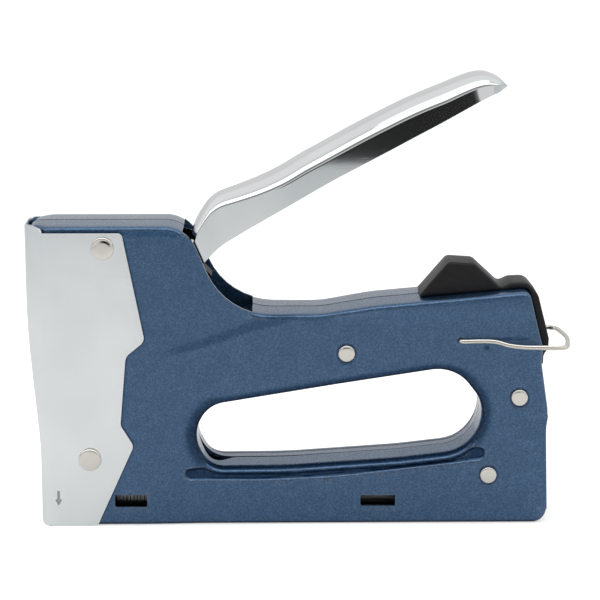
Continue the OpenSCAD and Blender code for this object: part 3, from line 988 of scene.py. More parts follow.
@dataclass(frozen=True)
class Moulded(Finish):
    """Moulded plastic or rubber with a fine skin."""

    roughness: float = 0.45
    relief: float = 0.00003

    def material(self, groups: EffectGroups) -> bpy.types.Material:
        """Builds a matte skin with grain, paler rubbed edges and uneven gloss.

        Args:
            groups: the shared effects.

        Returns:
            The material.
        """
        material, w, shader = self.started()
        grain = w.effect(groups.grain, Scale=2600.0, Depth=1.0).outputs
        wear = w.effect(groups.wear, Amount=0.4, Patch=1100.0).outputs["Mask"]
        skin = w.blend(grain["Shade"], self.colour, shaded(self.colour, 1.35))
        w.fill(shader, Base_Color=w.blend(wear, skin, shaded(self.colour, 2.2, 0.01)),
               Roughness=w.ramp(grain["Shade"], 0.0, 1.0, self.roughness - 0.06, self.roughness + 0.06),
               Normal=w.bump(grain["Height"], self.relief), Specular_IOR_Level=0.28)
        return material


class Stuff(Enum):
    """The finishes of the tool, each with the record's material slot."""

    BLUE_PAINT = ("blue_paint", FlakePaint("blue_flake_paint", (0.0315, 0.088, 0.185),
                                           flake=(0.175, 0.30, 0.48)))
    BARE_INSIDE = ("blue_paint", WorkedMetal("bare_shell_inside", (0.10, 0.092, 0.085), roughness=0.5))
    NOSE_CHROME = ("nose_chrome", Plating("nose_chrome", (0.835, 0.862, 0.868), roughness=0.16, smear=0.06))
    LEVER_CHROME = ("lever_chrome", Plating("lever_chrome", (0.80, 0.822, 0.826), roughness=0.045,
                                            smear=0.015, scratch=0.004, ripple=0.000003))
    NICKEL = ("rivet_nickel", Plating("rivet_nickel", (0.76, 0.73, 0.68), roughness=0.06))
    BAIL_WIRE = ("bail_nickel", Plating("bail_nickel", (0.72, 0.69, 0.63), roughness=0.15))
    BLACK_PLASTIC = ("black_plastic", Moulded("black_plastic", (0.0075, 0.0075, 0.0085), roughness=0.42))
    RUBBER = ("black_rubber", Moulded("black_rubber", (0.018, 0.018, 0.018), roughness=0.7, relief=0.00006))
    ZINC = ("zinc_steel", WorkedMetal("zinc_plated_steel", (0.46, 0.47, 0.48), roughness=0.36))
    BARE_STEEL = ("bare_steel", WorkedMetal("bare_steel", (0.40, 0.41, 0.42), roughness=0.28))
    HARD_STEEL = ("hardened_steel", WorkedMetal("ground_hard_steel", (0.36, 0.36, 0.37), roughness=0.25))
    SPRING_STEEL = ("spring_steel", WorkedMetal("oiled_spring_steel", (0.13, 0.135, 0.14), roughness=0.3,
                                                drawn=(1.0, 1.0, 1.0)))
    BRONZE = ("bronze", WorkedMetal("bronze", (0.50, 0.36, 0.16), roughness=0.35))
    # Staple wire darker than bare zinc, as painted shade for the staples seen through the windows.
    STAPLE_WIRE = ("staple_wire", WorkedMetal("zinc_staple_wire_darkened_for_shade", (0.30, 0.305, 0.31), roughness=0.36))
    BLACK_OXIDE = ("zinc_steel", WorkedMetal("black_oxide_steel", (0.030, 0.031, 0.034), roughness=0.45))

    def __init__(self, slot: str, finish: Finish) -> None:
        """Keeps the slot and the finish."""
        self.slot = slot
        self.finish = finish


class Finisher:
    """Makes each finish once, and puts it on pieces and on carried CAD nodes."""

    def __init__(self) -> None:
        """Builds the shared effects."""
        self.groups = EffectGroups()
        self.made: dict[Stuff, bpy.types.Material] = {}

    def material(self, stuff: Stuff) -> bpy.types.Material:
        """Makes the material of a finish on its first use.

        Args:
            stuff: the finish.

        Returns:
            Its material.
        """
        if stuff not in self.made:
            self.made[stuff] = stuff.finish.material(self.groups)
        return self.made[stuff]

    def dress(self, obj: bpy.types.Object, body: str, *stuff: Stuff, replaces: Sequence[str] = ()) -> None:
        """Finishes a new piece.

        Args:
            obj: the piece.
            body: the body that it rides on.
            *stuff: its finishes, one for each material slot of its mesh.
            replaces: CAD nodes that it stands for.
        """
        obj.data.materials.clear()
        for s in stuff:
            obj.data.materials.append(self.material(s))
        mark_edges(obj)
        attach(obj, body)
        if replaces:
            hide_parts(*replaces)
        LOG.info("%s: %d faces, on %s", obj.name, len(obj.data.polygons), body)

    def carry(self, node: str, stuff: Stuff) -> None:
        """Gives a CAD node that stays visible its finish.

        Args:
            node: name of the node.
            stuff: its finish.
        """
        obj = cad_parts[node]
        obj.data.materials.clear()
        obj.data.materials.append(self.material(stuff))
        LOG.info("%s: carried from the CAD frame", node)


# ---------------------------------------------------------------- shared shapes of the tool
def body_corners() -> list[Corner]:
    """Side outline of the pressed shells.

    Returns:
        Its corners, anticlockwise.
    """
    return [(1.05, 0, 3), (181.2, 0, 5), (181.0, 38, 30), (180.9, 42, 10), (178.4, 58.5, 8), (178.7, 64.5, 6),
            (173.4, 84.9, 2.6), (119, 80, 40), (100, 76.9, 40), (66.6, 76.9, 25), (52.9, 108.5, 12),
            (-3.35, 108.5, 4.5), (-3.35, 75, 40), (1.05, 29, 20)]


def nose_corners() -> list[Corner]:
    """Rear edge of the nose plate, from the foot to the top."""
    return [(20.2, 0, 1.6), (33.6, 29.6, 3), (29, 37.2, 3), (31.2, 62.2, 4), (38, 67.8, 3.2),
            (30.5, 106.5, 1.6)]


BODY_RIVETS: Path2 = ((109.1, 62.8), (170.6, 46.5), (160.0, 17.9))


def from_rivets(points: np.ndarray) -> list[np.ndarray]:
    """Returns the distances of the points from each body rivet."""
    return [np.hypot(points[:, 0] - x, points[:, 1] - z) for x, z in BODY_RIVETS]


# ---------------------------------------------------------------- shells
@dataclass
class Shell:
    """One pressed half of the body: a side face, a bend and a flange round it, and the opening's rolled lip.

    Attributes:
        side: side of the seam.
        half: distance from the seam to the side face.
        proud: extra height of the front and of the hump.
        bend: outer radius of the bend.
        sheet: thickness of the metal.
        seam: half the gap between the flanges.
        dish: depth of the dishes under the body rivets.
        groove_depth: depth of the groove below the opening.
        window_rim: the thin raised line round the rear window, as low and high x, low and high z and radius.
        rim_height: its height.
        windows: the windows near the base, given in the same way.
        bail_hole: x, z and radius of the hole for the bail's end.
        dents: soft oval dents, as x, z, half length, half height and depth.
        upper: upper edge of the crease that runs back from the nose.
        lower: its lower edge.
        groove: outline of the groove below the opening.
        opening: outline of the finger opening.
        opening_out: outward unit normals of its points.
        lip_width: width of the rolled lip at each of them.
        lip_depth: how far the lip turns in at each of them.
        lip_low: 1 where the lip faces up from below, 0 elsewhere.
        lip_outer: where the lip meets the side face.
        plate_edge: rear edge of the nose plate, where it lies on the shell.
    """

    side: Side
    half: float = 13.2
    proud: float = 0.8
    bend: float = 1.8
    sheet: float = 1.2
    seam: float = 0.2
    dish: float = 0.55
    groove_depth: float = 1.3
    window_rim: tuple[float, ...] = (112.3, 128.3, 4.95, 12.4, 1.2)
    rim_height: float = 0.13
    windows: Sequence[tuple[float, ...]] = ((26.5, 38.0, 6.75, 11.25, 0.5), (114.3, 126.7, 6.6, 10.65, 0.5))
    bail_hole: tuple[float, float, float] = (149.2, 67.4, 1.05)
    dents: Sequence[tuple[float, ...]] = ((158.5, 65.2, 1.7, 1.5, 0.45), (169.5, 67.3, 8.6, 1.6, 0.5))
    upper: np.ndarray = field(init=False)
    lower: np.ndarray = field(init=False)
    groove: np.ndarray = field(init=False)
    opening: np.ndarray = field(init=False)
    opening_out: np.ndarray = field(init=False)
    lip_width: np.ndarray = field(init=False)
    lip_depth: np.ndarray = field(init=False)
    lip_low: np.ndarray = field(init=False)
    lip_outer: np.ndarray = field(init=False)
    plate_edge: np.ndarray = field(init=False)

    def __post_init__(self) -> None:
        """Draws the crease, the groove, the opening with its lip, and the edge of the nose plate."""
        self.upper = curve_through([(34, 61.0), (39.8, 62.3), (45.1, 64.1), (50.4, 65.8), (57.4, 68.1),
                                    (64.5, 70.6), (71.5, 73.1), (76.8, 74.9), (84, 77.4)], 0.9)
        self.lower = curve_through([(34, 60.4), (39.7, 61.5), (45.0, 62.3), (50.3, 63.4), (57.4, 65.2),
                                    (64.5, 67.5), (71.5, 69.9), (78.6, 72.0), (83.8, 73.3), (92, 75.4)], 0.9)
        corners = [(51.3, 16.0, 2.2), (80, 15.9, 90), (106, 17.1, 200), (140, 21.0, 200), (159.4, 23.3, 2.6),
                   (158.9, 28.6, 2.4), (150, 28.6, 3), (140, 26, 60), (80, 21, 60), (58, 21.6, 1.5),
                   (51.2, 20.7, 2.0)]
        self.groove = Outline(corners, 1.0, 6).points()[0]
        corners = [(60.7, 21.0, 9), (88, 21.2, 200), (128, 23.9, 150), (157.2, 27.3, 15), (157.4, 45.0, 12),
                   (147.6, 57.8, 14), (106, 51.4, 300), (61.0, 44.0, 11), (53.6, 33.4, 12.5)]
        self.opening, self.opening_out = Outline(corners, 1.1, 10).points()
        x, z = self.opening_out.T
        parts = np.maximum(np.stack([z, -z, x, -x]), 0) ** 2
        self.lip_width = parts.T @ np.array([1.6, 1.7, 1.9, 2.6])
        self.lip_depth = parts.T @ np.array([1.7, 8.8, 8.0, 6.0] if self.side is Side.RIGHT
                                            else [1.7, 2.6, 2.4, 2.4])
        self.plate_edge = Outline([(-9, 0, 1), *nose_corners(), (-9, 106.5, 1)], 1.0, 6).points()[0]
        self.plate_edge = self.plate_edge[in_box(self.plate_edge, 18, math.inf, 2.4, 104.9)]
        self.lip_low = smooth_step((parts[1] - 0.25) / 0.6)
        self.lip_outer = self.opening + self.opening_out * self.lip_width[:, None]

    def height(self, p: np.ndarray) -> np.ndarray:
        """Distance from the seam to the outside of the side face.

        Args:
            p: rows of x, z.

        Returns:
            One distance for each point.
        """
        x, z = p.T
        low, high = line_height(p, self.lower), line_height(p, self.upper)
        across = np.clip((z - low) / np.maximum(high - low, 0.5), 0, 1)
        h = self.half + self.proud * (1 - smooth_step((x - 37.0) / 24.0) * (1 - across))
        for r in from_rivets(p):
            h -= self.dish * fall((r - 2.75) / 1.35)
        h -= self.groove_depth * self.groove_share(p)
        for *oval, depth in self.dents:
            h -= depth * self.dimple(p, *oval)
        h += self.rim_height * fall((distance_to(p, rounded_box(*self.window_rim), True) - 0.2) / 0.35)
        nose = 6.0 + (x + NOSE_LEAN) * 1.257 - 2.2
        blend = np.clip(0.5 + (nose - h) / 3.0, 0, 1)
        return nose * (1 - blend) + h * blend - 1.5 * blend * (1 - blend)

    def groove_share(self, p: np.ndarray) -> np.ndarray:
        """Depth of the groove below the opening, as a share.

        Args:
            p: rows of x, z.

        Returns:
            One share for each point, 0 outside the groove and on the ridge over it.
        """
        share = np.zeros(len(p))
        ground = inside(p, self.groove)
        if ground.any():
            d = np.minimum(*(distance_to(p[ground], ring, True) for ring in (self.groove, self.lip_outer)))
            share[ground] = smooth_step(d / 1.45)
        return share

    @staticmethod
    def dimple(p: np.ndarray, x: float, z: float, a: float, b: float) -> np.ndarray:
        """Weight of a soft oval dent, 1 at its middle and 0 outside."""
        return fall(np.hypot((p[:, 0] - x) / a, (p[:, 1] - z) / b))

    def opening_lip(self) -> list[tuple[np.ndarray, np.ndarray]]:
        """Rolled lip of the finger opening.

        Returns:
            The rings (points, distances from the seam) from the face down to the seam.
        """
        ring, out, low = self.opening, self.opening_out, self.lip_low
        start = self.half - self.height(self.lip_outer)
        rings = []
        for turn, away_low, depth_low in ((18, 0.86, 0.04), (34, 0.68, 0.15), (50, 0.5, 0.32),
                                          (65, 0.34, 0.56), (78, 0.16, 0.85), (90, 0.0, 1.0)):
            phi = math.radians(turn)
            away = (1 - math.sin(phi)) * (1 - low) + away_low * low
            share = (1 - math.cos(phi)) * (1 - low) + depth_low * low
            depth = start + (self.lip_depth - start) * share
            rings.append((ring + out * (self.lip_width * away)[:, None], self.half - depth))
        end = self.half - self.seam_gap(ring)
        for t in (0.12, 0.4, 0.7, 1.0):
            rings.append((ring - out * 0.2 * t, self.half - self.lip_depth - (end - self.lip_depth) * t))
        return rings

    def seam_gap(self, ring: np.ndarray) -> np.ndarray:
        """Half the gap between the two lips, which opens at the lower front corner of the opening.

        Args:
            ring: points of the opening.

        Returns:
            One distance from the seam for each point.
        """
        reach = 6.5 if self.side is Side.LEFT else 1.8
        corner = self.dimple(ring, 61.0, 22.0, 10.0, 11.5)
        line = 0.35 * fall((ring[:, 0] - 75) / 45) * in_box(ring, 60, math.inf, z1=24)
        return np.maximum(self.seam + reach * corner, self.seam + line)

    def is_open(self, p: np.ndarray) -> np.ndarray:
        """Where the flange is cut away: the lever slot, the rear slot and the staple exit.

        Args:
            p: rows of x, z.

        Returns:
            True for each point in one of them.
        """
        lever, rear = in_box(p, 51.5, 77.2, 70), in_box(p, 177, math.inf, 4.2, 41)
        return lever | rear | in_box(p, -math.inf, 5.6, z1=3)

    def edge_strips(self, draft: MeshDraft, ring: np.ndarray, out: np.ndarray) -> None:
        """Adds the bend and the flange, or a plain cut edge where the flange is cut away.

        Args:
            draft: the mesh draft.
            ring: the side outline.
            out: its outward normals.
        """
        base = ring - out * self.bend
        h = self.height(base)
        cut = self.is_open(ring)
        n = len(ring)
        flip = self.side is Side.LEFT
        bent = [on_side(base, h, self.side)]
        for phi in np.radians([15, 30, 45, 60, 75, 90]):
            p = ring - out * self.bend * (1 - math.sin(phi))
            bent.append(on_side(p, h - self.bend * (1 - math.cos(phi)), self.side))
        for t in (0.3, 0.7, 0.94, 1.0):
            depth = h - self.bend - (h - self.bend - self.seam) * t
            grow = 0.3 * t * np.maximum(out[:, 1:2], 0)
            bent.append(on_side(ring + out * grow, depth, self.side))
        narrow = (1 - np.clip((41 - ring[:, 1]) / 34, 0, 1)) * smooth_step((41 - ring[:, 1]) / 7)
        reach = self.bend - np.where(ring[:, 0] > 177, 0.9 * narrow, 0)
        flat = []
        for t in (0.0, 0.5, 1.0):
            p = base + out * reach[:, None] * t
            flat.append(on_side(p, self.height(p), self.side))
        for start, stop, is_cut in self.runs(cut):
            index = [i % n for i in range(start, stop + 1)]
            rows = [r[index] for r in (flat if is_cut else bent)]
            draft.grid(rows, flip=flip)

    @staticmethod
    def runs(flags: np.ndarray) -> list[tuple[int, int, bool]]:
        """Splits a ring of flags into stretches that share their end points.

        Args:
            flags: one flag for each point.

        Returns:
            First point, last point and flag of each stretch.
        """
        n = len(flags)
        changes = [i for i in range(n) if flags[i] != flags[i - 1]]
        if not changes:
            return [(0, n, bool(flags[0]))]
        out = []
        for a, b in zip(changes, changes[1:] + [changes[0] + n]):
            value = bool(flags[a % n])
            out.append((a - 1, b, value) if not value else (a, b - 1, value))
        return out

    def spacing(self, p: np.ndarray) -> np.ndarray:
        """Where the face needs the fine grid.

        Args:
            p: rows of x, z.

        Returns:
            True for each point that needs it.
        """
        near = np.abs(p[:, 1] - (line_height(p, self.upper) + line_height(p, self.lower)) / 2) < 3.0
        near &= in_box(p, 36, 92)
        near |= inside(p, self.groove) | (distance_to(p, self.groove, True) < 0.6)
        near |= distance_to(p, self.lip_outer, True) < 2.2
        near |= in_box(p, 155, 180, 62.5, 71) | in_box(p, 111, 129.5, 3.8, 13.6)
        near |= distance_to(p, self.plate_edge) < 1.6
        return near | (np.min(from_rivets(p), axis=0) < 5.0)

    def build(self, finisher: Finisher) -> None:
        """Builds the shell.

        Args:
            finisher: gives it its finish.
        """
        ring, out = Outline(body_corners(), 1.6, 8).points()
        rings = [ring - out * self.bend, self.lip_outer, *(rounded_box(*window) for window in self.windows),
                 circle(*self.bail_hole, 20)]
        edge = self.plate_edge[np.argsort(self.plate_edge[:, 1])]
        along = np.gradient(edge, axis=0)
        beside = edge + 0.75 * unit_rows(np.stack([along[:, 1], -along[:, 0]], axis=1))
        lines = [self.upper[4:-6], self.lower[4:-4], edge, beside, *self.groove_lines()]
        lines += [circle(x, z, r, 40)[np.arange(41) % 40] for x, z in BODY_RIVETS for r in (2.8, 4.1)]
        pts, tris = filled(rings, self.spacing, 0.75, 2.4, lines)
        draft = MeshDraft()
        draft.face_side(pts, self.height(pts), self.side, tris)
        self.edge_strips(draft, ring, out)
        lip = [(self.lip_outer, self.height(self.lip_outer)), *self.opening_lip()]
        draft.grid([on_side(p, d, self.side) for p, d in lip], around=True, flip=self.side is Side.RIGHT)
        which = "left" if self.side is Side.LEFT else "right"
        obj = draft.build(f"pressed_shell_{which}", crease_deg=40, merge=0.05)
        thickened(obj, self.sheet, inner_slot=1, edge=0.16)
        # Stores the painted shade by which the paint is darkened where shadow falls.
        self.paint_recess_shade(obj)
        finisher.dress(obj, "body", Stuff.BLUE_PAINT, Stuff.BARE_INSIDE, replaces=[f"{which}_shell"])

    def groove_lines(self) -> list[np.ndarray]:
        """Draws lines along the groove's wall, for the mesh to follow.

        Returns:
            Rows of x, z for each line.
        """
        before, after = (np.roll(self.groove, k, axis=0) for k in (1, -1))
        around = self.groove - before + after - self.groove
        out = unit_rows(np.stack([around[:, 1], -around[:, 0]], axis=1))
        lines = []
        for inset in (0.0, 0.4, 0.8, 1.2):
            clear = distance_to(self.groove, self.lip_outer, True) > 1.0 + inset
            ring = (self.groove - out * inset)[clear & ~inside(self.groove, self.lip_outer)]
            start = int(np.argmax(np.hypot(*(ring - np.roll(ring, 1, axis=0)).T)))
            lines.append(np.roll(ring, -start, axis=0))
        return lines

    def paint_recess_shade(self, obj: bpy.types.Object) -> None:
        """Stores on each point a painted shade where shadow falls: groove, crease, lip, seam, rivets, plate
        edges and base.

        Args:
            obj: the shell.
        """
        co = places(obj)
        p = co[:, [0, 2]]
        x, z = p.T
        depth = self.half - np.abs(co[:, 1])
        # Painted shade in the groove below the opening.
        mark = 0.95 * np.clip(self.groove_share(p) * 1.15, 0, 1) * (depth < 2.2)
        # Painted shade on the rolled lip, clearing towards its inner end, and in a soft band round the
        # opening's top and sides.
        away = p[:, None] - self.opening[None]
        nearest = np.argmin(np.hypot(away[..., 0], away[..., 1]), axis=1)
        width, deep = self.lip_width[nearest], self.lip_depth[nearest]
        lip = inside(p, self.lip_outer)
        gap, low_part = distance_to(p, self.lip_outer, True), self.lip_low[nearest]
        across = smooth_step((gap / width - 0.42 * low_part) / 0.28)
        back = fall((depth - deep * 0.9) / 0.9)
        wide = np.interp(x, [60, 66, 144, 155], [2.8, 1.2, 1.2, 2.6])
        rim_shade = (1 - low_part) * 0.85 * fall(gap / wide) * (depth < 1)
        mark = np.where(lip, np.maximum(across, 0.85 * (1 - low_part)) * back, np.maximum(mark, rim_shade))
        # More painted shade: on the crease that runs back from the nose, in the small dent, round the rivets,
        # along the nose plate's rear and top edges, and along the base.
        low, high = line_height(p, self.lower), line_height(p, self.upper)
        band = (z > low - 0.3) & (z < high + 0.1) & in_box(p, 38, 92) & (depth < 1.0)
        shade_marks = [0.45 * smooth_step((x - 40) / 12) * band,
                  0.9 * self.dimple(p, 158.6, 64.9, 1.9, 1.5) * (depth < 1.0),
                  *(0.7 * fall((r - 3.0) / 0.7) for r in from_rivets(p)),
                  fall((distance_to(p, self.plate_edge) - 0.1) / 0.65),
                  fall((z - 106.9) / 0.6) * in_box(p, -math.inf, 30.8, 105.5),
                  fall((z - 0.3) / 1.3)]
        mark = np.maximum(mark, np.max(shade_marks, axis=0))
        # Painted shade in the gap along the seam, off the lip.
        mark = np.where((np.abs(co[:, 1]) < self.seam + 0.3) & ~lip, 1.0, mark)
        store(obj, "recess_shade", mark)


# ---------------------------------------------------------------- nose plate and rivets
@dataclass
class NosePlate:
    """Bright plate bent round the nose of both shells.

    Attributes:
        half: distance from the seam to the side face.
        flat: half the width of the flat front.
        sheet: thickness of the metal.
        joint_x: where the front's grid meets the side faces.
        side_top: top of the side faces.
        front_top: top of the front.
        arrow_at: middle of the arrow stamped in the foot.
        foot: radius of the rounded foot.
        lip: radius of the rounded top.
        deepest: x of the front beyond which the whole plan moves back.
        stamp: depth of the arrow.
    """

    half: float = 14.8
    flat: float = 6.0
    sheet: float = 0.8
    joint_x: float = 4.8
    side_top: float = 106.5
    front_top: float = 108.4
    arrow_at: tuple[float, float] = (6.5, 10.4)
    foot: float = 1.5
    lip: float = 0.9
    deepest: float = 2.2
    stamp: float = 0.3

    def front_x(self, z: float) -> float:
        """Front of the plate at a height.

        Args:
            z: the height.

        Returns:
            x of the front face, with the foot and the top rounded.
        """
        line = np.array([(0, 0.2), (22, 0.2), (27, 0.08), (32, -0.2), (36.8, -0.7), (50, -2.1), (63.4, -3.4),
                         (70, -3.85), (76, -4.1), (83, -4.2), (200, -4.2)])
        x = float(np.interp(z, line[:, 0], line[:, 1]))
        if z < self.foot:
            x += self.foot - math.sqrt(max(0.0, self.foot ** 2 - (self.foot - z) ** 2))
        over = z - (self.front_top - self.lip)
        if over > 0:
            x += self.lip - math.sqrt(max(0.0, self.lip ** 2 - over ** 2))
        return x

    def plan(self, front: float) -> np.ndarray:
        """Half the plate's outline seen from above.

        Args:
            front: x of its front face.

        Returns:
            Rows of x and distance from the seam, from the middle of the front to the side.
        """
        f = min(front, self.deepest)
        shift = front - f
        slope = (self.half - self.flat) / 7.0
        corner = np.array([f, self.flat + (f + 4.2) * slope])
        knee = np.array([2.8, self.half])
        r = 4.0 * min(1.0, (2.8 - f) / 2.4)
        pts = [(f, corner[1] * t) for t in (0.0, 0.25, 0.5, 0.75)]
        line = [np.array([f, 0.0]), corner, knee, np.array([20.0, self.half])]
        for before, at, after in zip(line, line[1:], line[2:]):
            pts += list(CornerArc.round(before, at, after, r, 7).points)
        return np.vstack([np.array(pts) + np.array([shift, 0.0]), [(self.joint_x, self.half)]])

    def levels(self) -> np.ndarray:
        """Heights of the rows of the front grid."""
        return np.array([0.0, 0.15, 0.4, 0.8, 1.4, 2.2, 3.0, 3.8, *np.arange(6.5, 101.0, 3.0),
                         102.6, 103.8, 104.6, 105.2, 105.7, 106.1, 106.35, self.side_top])

    def arrow(self) -> np.ndarray:
        """Outline of the small arrow stamped in the foot.

        Returns:
            Rows of x, z.
        """
        shape = [(-0.38, 2.7), (-0.38, -0.6), (-1.15, -0.6), (0, -2.6), (1.15, -0.6), (0.38, -0.6),
                 (0.38, 2.7), (-0.38, 2.7)]
        return resampled_edges(np.array(shape) + np.array(self.arrow_at), 0.7)

    def half_draft(self) -> MeshDraft:
        """Builds the left half of the plate.

        Returns:
            Its draft.
        """
        draft = MeshDraft()
        nominal = self.plan(-4.2)[:, 0]
        share = fall((nominal - 1.0) / 1.4)
        tops = self.side_top + (self.front_top - self.side_top) * share
        rows = []
        for level in self.levels():
            z = np.where(level > 95, 95 + (level - 95) * (tops - 95) / (self.side_top - 95), level)
            x, depth = np.array([self.plan(self.front_x(float(zk)))[k] for k, zk in enumerate(z)]).T
            rows.append(on_side(np.stack([x, z], axis=1), depth, Side.LEFT))
        draft.grid(rows)
        shape = [(self.joint_x, 0, 0.001)] + nose_corners() + [(self.joint_x, self.side_top, 0.001)]
        ring = Outline(shape, 2.0, 8).points()[0]
        ring = ring[ring[:, 0] > self.joint_x + 0.5]
        start = int(np.argmin(np.hypot(ring[:, 0] - self.joint_x, ring[:, 1])))
        ring = np.roll(ring, -start, axis=0)
        seam = np.stack([np.full(len(self.levels()), self.joint_x), self.levels()], axis=1)[::-1]
        ring = np.vstack([ring, seam])
        arrow = self.arrow()
        rim = offset_ring(arrow, 0.16)
        pts, tris = filled([ring, arrow], nowhere, 2.0, 4.0, [np.vstack([rim, rim[:1]])])
        draft.face_side(pts, self.half, Side.LEFT, tris)
        sunk = self.half - self.stamp
        draft.grid([on_side(arrow, depth, Side.LEFT) for depth in (self.half, sunk)], around=True)
        pts, tris = filled([arrow], nowhere, 5.0, 5.0)
        draft.face_side(pts, sunk, Side.LEFT, tris)
        return draft

    def build(self, finisher: Finisher) -> None:
        """Builds the plate.

        Args:
            finisher: gives it its finish.
        """
        draft = self.half_draft()
        draft.join(draft.mirrored())
        obj = draft.build("nose_wrap_plate", crease_deg=40, merge=0.03)
        thickened(obj, self.sheet, edge=0.14)
        for vertex in obj.data.vertices:
            vertex.co.z = max(vertex.co.z, 0.0)
        # Painted shade along the edge of the stamped arrow.
        co = places(obj)
        near = distance_to(co[:, [0, 2]], self.arrow(), True) < 0.12
        store(obj, "recess_shade", 0.8 * (near & (np.abs(co[:, 1]) > self.half - 0.4)))
        finisher.dress(obj, "body", Stuff.NOSE_CHROME, replaces=["nose_plate"])


@dataclass
class Rivets:
    """Domed rivet heads on both sides, joined by their shanks.

    Attributes:
        pivot_at: x and z of the pivot rivet.
        nose_at: x and z of the nose rivet.
        pivot: radius of its head, distance from the seam to the surface under it, and its height.
        nose: the same for the nose rivet.
        body: the same for the body rivets.
        sides: points round each head.
        shank: radius of the shank as a share of the head's.
    """

    pivot_at: tuple[float, float] = (23.8, 101.1)
    nose_at: tuple[float, float] = (18.0, 24.8)
    pivot: tuple[float, float, float] = (4.1, 14.8, 1.45)
    nose: tuple[float, float, float] = (4.05, 14.8, 1.45)
    body: tuple[float, float, float] = (3.0, 12.75, 1.2)
    sides: int = 56
    shank: float = 0.42

    @staticmethod
    def dome(r: float, seat: float, rise: float) -> list[tuple[float, float]]:
        """Profile of a rivet head, from its seat to its middle.

        Args:
            r: its radius.
            seat: distance from the seam to the surface under it.
            rise: its height.

        Returns:
            Radius and distance from the seam at each point.
        """
        crown = 0.03 * r
        rim = 0.46 * rise
        pts = [(r * 0.44, seat - 0.6), (r - 0.02, seat - 0.6), (r, seat), (r, seat + rise - crown - rim)]
        for a in np.radians([12, 26, 40, 54, 67, 78]):
            pts.append((r - rim * (1 - math.cos(a)), seat + rise - crown - rim * (1 - math.sin(a))))
        for t in (0.94, 0.88, 0.8, 0.7, 0.58, 0.44, 0.2, 0.02):
            pts.append(((r - rim) * t, seat + rise - crown * t ** 4.5))
        return pts

    def one(self, name: str, at: Path2, size: tuple[float, float, float], node: str,
            finisher: Finisher) -> None:
        """Builds rivets of one size as one piece.

        Args:
            name: name of the piece.
            at: x and z of each rivet.
            size: radius, seat and height of the heads.
            node: CAD node that it stands for.
            finisher: gives it its finish.
        """
        r, seat, rise = size
        draft = MeshDraft()
        for centre in at:
            for side in Side:
                draft.lathe(centre, self.dome(r, seat, rise), side, self.sides)
            middle = np.array([(centre[0], y, centre[1]) for y in (0.5 - seat, 0.0, seat - 0.5)])
            draft.tube(middle, self.shank * r, self.sides)
        obj = draft.build(name, crease_deg=50)
        finisher.dress(obj, "body", Stuff.NICKEL, replaces=[node])

    def build(self, finisher: Finisher) -> None:
        """Builds the pivot rivet, the nose rivet and the body rivets.

        Args:
            finisher: gives each its finish.
        """
        self.one("pivot_rivet_domes", [self.pivot_at], self.pivot, "pivot_rivet", finisher)
        self.one("nose_rivet_domes", [self.nose_at], self.nose, "nose_rivet", finisher)
        self.one("body_rivet_domes", BODY_RIVETS, self.body, "body_rivets", finisher)


